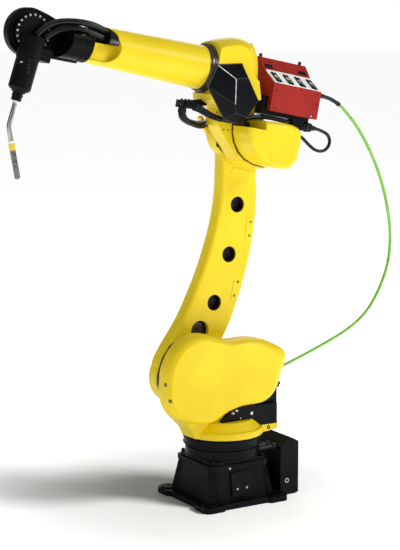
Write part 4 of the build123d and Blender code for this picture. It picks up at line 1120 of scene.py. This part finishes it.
# %% Feeder latches and knobs
lid_face = axis_seat(elbow, (-0.135, 0.020, 0.241), (0, 44, 44), rearwards)
pulls = Kit("feeder_finger_pulls", "elbow", moulded)
for x in (-75.5, 72.5):
    dish = lift(lid_face, x, 19.5, 0.3)
    pulls.plate(dish, rounded_rectangle(34, 15.5, 3), 1.6, 0.03)
    for rib in range(5):
        rib_seat = lift(dish, (rib - 2) * 5.4, 0.6, 1.4)
        pulls.plate(rib_seat, rounded_rectangle(2.6, 11.4, 1, 3), 3.2, 0.12)
    pulls.plate(lift(dish, 0, -6.4, 1.4), rounded_rectangle(31, 1.8, 0.8, 2), 2.2, 0.1)
pulls.add(["feeder_latches"])

knobs = Kit("feeder_fluted_knobs", "elbow", moulded)
knob_radius, flute_depth = 6.1, 0.9
flutes = [(x, y) if step % 3 else (x * (1 - flute_depth / knob_radius), y * (1 - flute_depth / knob_radius))
          for step, (x, y) in enumerate(circle(knob_radius, 36))]
knob_foot = [(0, 0), (knob_radius, 0), (knob_radius, 2.2), (4.9, 3), (4.9, 4.4), (5.6, 5.2), (0, 5.2)]
knob_line, lid_top = -0.030, 0.2853
for x in (-0.042, -0.214):
    post = axis_seat(elbow, (x, knob_line, lid_top), upwards)
    knobs.turn(post, knob_foot)
    knobs.plate(lift(post, 0, 0, 5.0), flutes, 5.6, 0.06)
    knobs.turn(lift(post, 0, 0, 10.5), [(0, 0), (4.6, 0), (4.2, 1.1), (0, 1.3)])
knobs.add(["feeder_knobs"])

# %% [markdown]
# **Feeder screws.** The housing is closed by small cap screws along its edges and ends, and one bright
# screw earths it.

# %% Feeder screws
near_screws_in_picture = ((277.0, 90.4), (274.75, 108.5), (316.6, 104.75), (317.5, 94.5))
earth_screw_in_picture = (310.8, 116.2)
feeder_middle, clear_of_end = -0.135, 0.3
end_screw_places = ((0.088, 0.108), (0.088, 0.186), (-0.024, 0.108), (-0.024, 0.27), (0.016, 0.225))
feeder_screws = Kit("feeder_screws", "elbow", oxide)
for x, y in near_screws_in_picture:
    feeder_screws.turn(seen_at(x, y, "feeder_housing"), socket_screw(2.3, 1.8))
for y, z in end_screw_places:
    for x_side in (-1, 1):
        beside = elbow @ Vector((feeder_middle - clear_of_end * x_side, y, z))
        inward = elbow.to_3x3() @ Vector((x_side, 0, 0))
        feeder_screws.turn(strike(beside, inward, ["feeder_housing"]), socket_screw(2.3, 1.8))
feeder_screws.add()
turned_piece("feeder_earth_screw", "elbow", zinc,
             (seen_at(*earth_screw_in_picture, "feeder_housing"), socket_screw(3.1, 2.0)))

# %% [markdown]
# **Feeder sheet metal.** A folded housing shows its folds: a lip where the lid overlaps the body, raised
# end plates, and louvres that let the motor's heat out at the back. Each is a thin plate with a bevelled rim.

# %% Feeder lips, end plates and louvres
folds = Kit("feeder_folds", "elbow", red)
folds.plate(lift(lid_face, 0, 1.6, 0), rounded_rectangle(205, 5, 1.5, 2), 1.5, 0.02)
end_outline = [(94, 103), (94, 190), (17, 234.5), (-22.5, 277), (-30, 277), (-30, 103)]
front_end, rear_end = -0.0322, -0.2378
for x, way in ((front_end, 1), (rear_end, -1)):
    end_face = axis_seat(elbow, (x, 0, 0), (way, 0, 0), leftwards)
    folds.plate(end_face, [(y, z * way) for y, z in end_outline], 1.3, 0.01)
back_face = axis_seat(elbow, (feeder_middle, -0.036, 0.19), rightwards, forwards)
column_reach, louvre_spacing = 48, 18
for row in range(6):
    for column in (-1, 1):
        louvre_seat = lift(back_face, column * column_reach, (row - 2.5) * louvre_spacing, -0.2)
        folds.plate(louvre_seat, rounded_rectangle(70, 8, 3.5), 2.6, 0.35)
folds.add()

# %% [markdown]
# **Socket and plug under the feeder.** The plug has a knurled coupling ring and a tapered strain relief
# that steadies the cable where it leaves. A hexagon gland holds the sleeve of the green conduit, and a
# ferrule closes the sleeve's end.

# %% Coupling ring, strain relief and glands
sleeve_line = cord_lines["conduit_sleeve_rubber"]
elbow_rear = elbow.to_3x3() @ Vector(rearwards)
plug_seat = along(cord_lines["feeder_loop_cable"][0], elbow_rear)
coupling_ring = [(0, 0), (16.6, 0), (17.4, 1.5), (17.4, 10), (16, 12), (0, 12)]
knurl = [(-1, -1.2), (1, -0.7), (1, 0.7), (-1, 1.2)]
strain_relief = [(0, -1), (12.5, -1), (12.5, 3), (10.5, 5), (10.5, 9), (9.4, 10), (9.6, 14), (8.4, 15),
                 (8.6, 19), (7.4, 20), (7.2, 26), (0, 26.5)]
sleeve_gland = [(0, -3), (13, -3), (13, 2), (11.5, 3, True), (11.5, 11, True), (9.4, 13), (8.6, 24),
                (7.4, 26), (0, 26)]
ferrule = [(5.2, 0), (6.6, 0), (8, 2), (8, 12), (7, 13), (5.2, 13), (5.2, 0)]
couplings = Kit("feeder_plug_couplings", "elbow", moulded)
couplings.turn(lift(plug_seat, 0, 0, -24), coupling_ring, sides=32)
for step in range(24):
    turned = plug_seat @ Matrix.Rotation(2 * pi * step / 24, 4, "Z")
    couplings.plate(lift(turned, 17.2, 0, -22.6), knurl, 8.6, 0.05)
couplings.turn(plug_seat, strain_relief)
couplings.turn(along_line(sleeve_line, 0), sleeve_gland)
couplings.turn(lift(along_line(sleeve_line, -1, -1), 0, 0, -1), ferrule)
couplings.add()

# %% [markdown]
# **Wrist fittings.** The wrist drive is closed by a cover held down by a ring of cap screws, bright where
# their edges catch the lamps. Turned rings step up to it on the disc of the arm, and a cap and another
# ring of screws close the far side.

# %% Wrist fittings
disc_face, boss_face, far_disc_face = -0.042, -0.014, -0.070
wrist_disc = axis_seat(wrist_axis, (0, disc_face, 0), leftwards)
wrist_boss = axis_seat(wrist_axis, (0, boss_face, 0), leftwards)
wrist_far = axis_seat(wrist_axis, (0, far_disc_face, 0), rightwards)
far_cap = [(0, -0.5), (62, -0.5), (62, 5), (59, 8), (0, 9)]
boss_cover = [(0, -0.5), (53.5, -0.5), (53.5, 1.2), (51.5, 3), (46, 3), (45, 1.4), (0, 1.4)]
turned_piece("wrist_disc_rings", "forearm", black,
             (wrist_disc, ring_profile(74.5, 78.5, 2.6, 0), 96),
             (wrist_disc, ring_profile(60, 68, 4.2, 0), 96),
             (wrist_far, far_cap, 72))
far_screws = Kit("wrist_far_screws", "forearm", oxide)
bolt_circle(far_screws, wrist_far, 71.5, 12, socket_screw(3.2, 3.0))
far_screws.add()
turned_piece("wrist_boss_cover", "wrist", black, (wrist_boss, boss_cover, 72))
turned_piece("wrist_boss_flange", "wrist", black,
             (lift(wrist_boss, 0, 0, -9), ring_profile(53, 61.5, 8.4, 0), 72))
boss_screws = Kit("wrist_boss_screws", "wrist", zinc)
bolt_circle(boss_screws, lift(wrist_boss, 0, 0, -0.8), 57, 20, socket_screw(3.8, 3.4), start=0.05)
boss_screws.add()

# %% [markdown]
# **Torch fittings.** The torch mount is a shock sensor with a ring seam, small vents and a spring clip.
# Its collar steps down to a hexagon nut that clamps the neck.

# %% Torch fittings
torch_axis = axis_seat(wrist, (0, 0, 0), forwards, leftwards)
shoulder_cone = [(0, -1), (26.5, -1), (23.5, 5), (19.5, 8), (0, 8)]
collar = [(0, 0), (19.2, 0), (19.2, 4), (18.2, 5), (0, 5)]
neck_nut = [(0, 0), (16.8, 0, True), (16.8, 8, True), (14.5, 9.5), (0, 9.5)]
rings = Kit("torch_body_rings", "torch", black)
torch_steps = ((85.5, ring_profile(36, 39.6, 6, 0), 64), (114, ring_profile(37, 38.8, 2.2, 0), 64),
               (197, shoulder_cone, 48), (210.5, collar, 48), (221.5, neck_nut, 48))
for height, profile, sides in torch_steps:
    rings.turn(lift(torch_axis, 0, 0, height), profile, sides)
rings.add()
clip_in_picture = (21.5, 62.0)
vents_in_picture = ((29.6, 60.5), (29.0, 64.2), (28.4, 68.0), (27.8, 71.6))
clip_seat = seen_at(*clip_in_picture, "torch_body")
clip = Kit("torch_clip_and_vents", "torch", zinc)
clip.plate(clip_seat, rounded_rectangle(5, 10, 1.5), 2.2, 0.15)
clip.turn(lift(clip_seat, 0, 0, 2.0), socket_screw(1.6, 1.4))
clip.add()
vents = Kit("torch_vents", "torch", moulded)
for x, y in vents_in_picture:
    vents.plate(seen_at(x, y, "torch_body"), rounded_rectangle(8, 9, 2.6), 1.4, 0.3)
vents.add()

# %% [markdown]
# ** Dark openings.** The round openings of the lower arm look black, because they lead into a hollow
# casting. The drawing keeps them blind, so each gets a deep black cup: its black is painted shade of the
# hollow, and more shading comes from its depth. The lowest one holds a plug, so it gets only a collar.

# %% Black cups in the lower arm's openings, as painted shade
# The cup's black is painted shade of the hollow casting.
painted_shade_cup = [(0, -37), (28.7, -37), (28.7, 0), (27.5, 0.4), (26.4, -1), (25, -26), (12, -28), (11, -24), (0, -24)]
plug_collar = [(29.2, -21.5), (36.6, -21.5), (36.6, 4), (34, 3.5), (32.5, -4), (29.2, -5), (29.2, -21.5)]
opening_face, plugged_opening = -0.0495, (-0.03916, -0.0650, 0.17533)
opening_places = ((-0.07699, 0.64703), (-0.0890, 0.46600), (-0.07298, 0.28498))
turned_piece("lower_arm_painted_shade_cups", "lower_arm", moulded,
             *[(axis_seat(shoulder, (x, opening_face, z), leftwards), painted_shade_cup, 48) for x, z in opening_places],
             (axis_seat(shoulder, plugged_opening, leftwards), plug_collar, 48), slot="black_rubber")

# %% [markdown]
# ** Shadow gaps.** Covers on such an arm stand a finger's width off, and shade draws dark lines between the
# yellow shapes. Three thin black plates paint that shade: behind the shoulder shell, round the bucket cover
# of the elbow, and on the floor of the forearm's cut-out, where the conduits lie.

# %% Painted shade plates in the gaps
def painted_shade_plate(name, body, finish, seat, outline, thickness, slot=None):
    """A thin black plate in the gap under a cover, as painted shade."""
    kit = Kit(name, body, finish, slot)
    kit.plate(seat, outline, thickness, 0.01)
    kit.add()


def swollen(outline, distance):
    """An outline with every point moved outwards from its middle."""
    middle = sum((Vector(p) for p in outline), Vector((0, 0))) / len(outline)
    return [tuple(Vector(p) + (Vector(p) - middle).normalized() * distance) for p in outline]


shell_unit, bucket_unit, notch_end, notch_unit = 535, 297, 672, 100
shell_front = [(0.2841, 0.015), (0.2748, 0.1103), (0.2449, 0.1907), (0.1869, 0.2692), (0.12, 0.300),
               (0.0, 0.29), (-0.05, 0.02)]
bucket_front = [(0.0774, 0.1684), (0.229, 0.0976), (0.2189, 0.0034), (0.1717, -0.1077), (0.0943, -0.2054),
                (0.0, -0.2761), (-0.1414, -0.3232), (-0.2896, -0.3333), (-0.24, -0.20), (-0.10, 0.05)]
pocket_floor = [(-0.885, 0.075), (-0.885, 0.26), (-0.865, 0.385), (-0.81, 0.49), (-0.695, 0.58),
                (-0.565, 0.60), (-0.2, 0.605), (-0.001, 0.61), (-0.001, 0.075)]
# Each plate is painted shade in a gap, not a gasket or liner.
painted_shade_plate("shoulder_painted_shade_plate", "turntable", moulded, near_seat(ground, 0.15, 0.45, 0.0510),
          [(-shell_unit * x, shell_unit * z) for x, z in shell_front], 10.5, "black_rubber")
painted_shade_plate("bucket_cover_painted_shade_plate", "elbow", seal, near_seat(elbow, 0, 0, 0.0362),
          swollen([(-bucket_unit * x, bucket_unit * z) for x, z in bucket_front], 5.5), 3)
painted_shade_plate("forearm_pocket_painted_shade_plate", "forearm", moulded, near_seat(forearm, 0, 0, -0.0079),
          [(-(notch_end + notch_unit * x), notch_unit * z) for x, z in pocket_floor], 4, "black_rubber")

# %% [markdown]
# **Harness wrap.** Where the harness leaves its clamp it is wrapped in a ribbed boot that tapers down to
# the hose. The ribs are turned rings strung along the hose's own line.

# %% Ribbed wrap
wrap = Kit("harness_ribbed_wrap", "elbow", moulded)
for index in range(1, 27):
    rib = ring_profile(7.6, 15.0 - 0.21 * index, 2.6 if index % 2 else 3.6, 0)
    wrap.turn(along_line(hose_line, index), rib, sides=20)
wrap.add()

# %% [markdown]
# The two loops share one ribbed sleeve. Its ribs are oval plates that reach round both loops, each turned
# to the line between them.

# %% Sleeve round the loops
upper, lower = cord_lines["harness_loop_upper"], cord_lines["harness_loop_lower"]
between_loops = [(a + b) / 2 for a, b in zip(upper, lower)]
loop_wrap = Kit("harness_loop_wrap", None, moulded)
for index in range(6, 52):
    seat = along_line(between_loops, index)
    apart = (seat.inverted().to_3x3() @ (upper[index] - lower[index])).to_2d()
    swing = Matrix.Rotation(apart.angle_signed(Vector((1, 0))), 4, "Z")
    grow = 1.9 if index % 2 else 0.6
    wide, high = apart.length / 2 / mm + 6.6 + grow, 9.2 + grow
    oval = [(wide * x, high * y) for x, y in circle(1, 20)]
    loop_wrap.plate(seat @ swing, oval, 5.4, 0.06)
loop_sleeve = loop_wrap.add()
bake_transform(loop_sleeve)

# %% [markdown]
# **Elbow stop.** A bright pin and a rubber bumper beside it stop the forearm's swing at its far end.

# %% Stop pin and bumper
pin_in_picture, bumper_in_picture = (216.25, 140.0), (218.0, 145.0)
turned_piece("elbow_stop_pin", "lower_arm", zinc,
             (seen_at(*pin_in_picture, "lower_arm"), [(0, -1), (4.2, -1), (4.2, 6), (3.4, 7), (0, 7)]))
turned_piece("elbow_stop_bumper", "lower_arm", moulded,
             (seen_at(*bumper_in_picture, "lower_arm"), [(0, -1), (7, -1), (7, 4), (5.4, 6), (0, 6)]),
             slot="black_rubber")
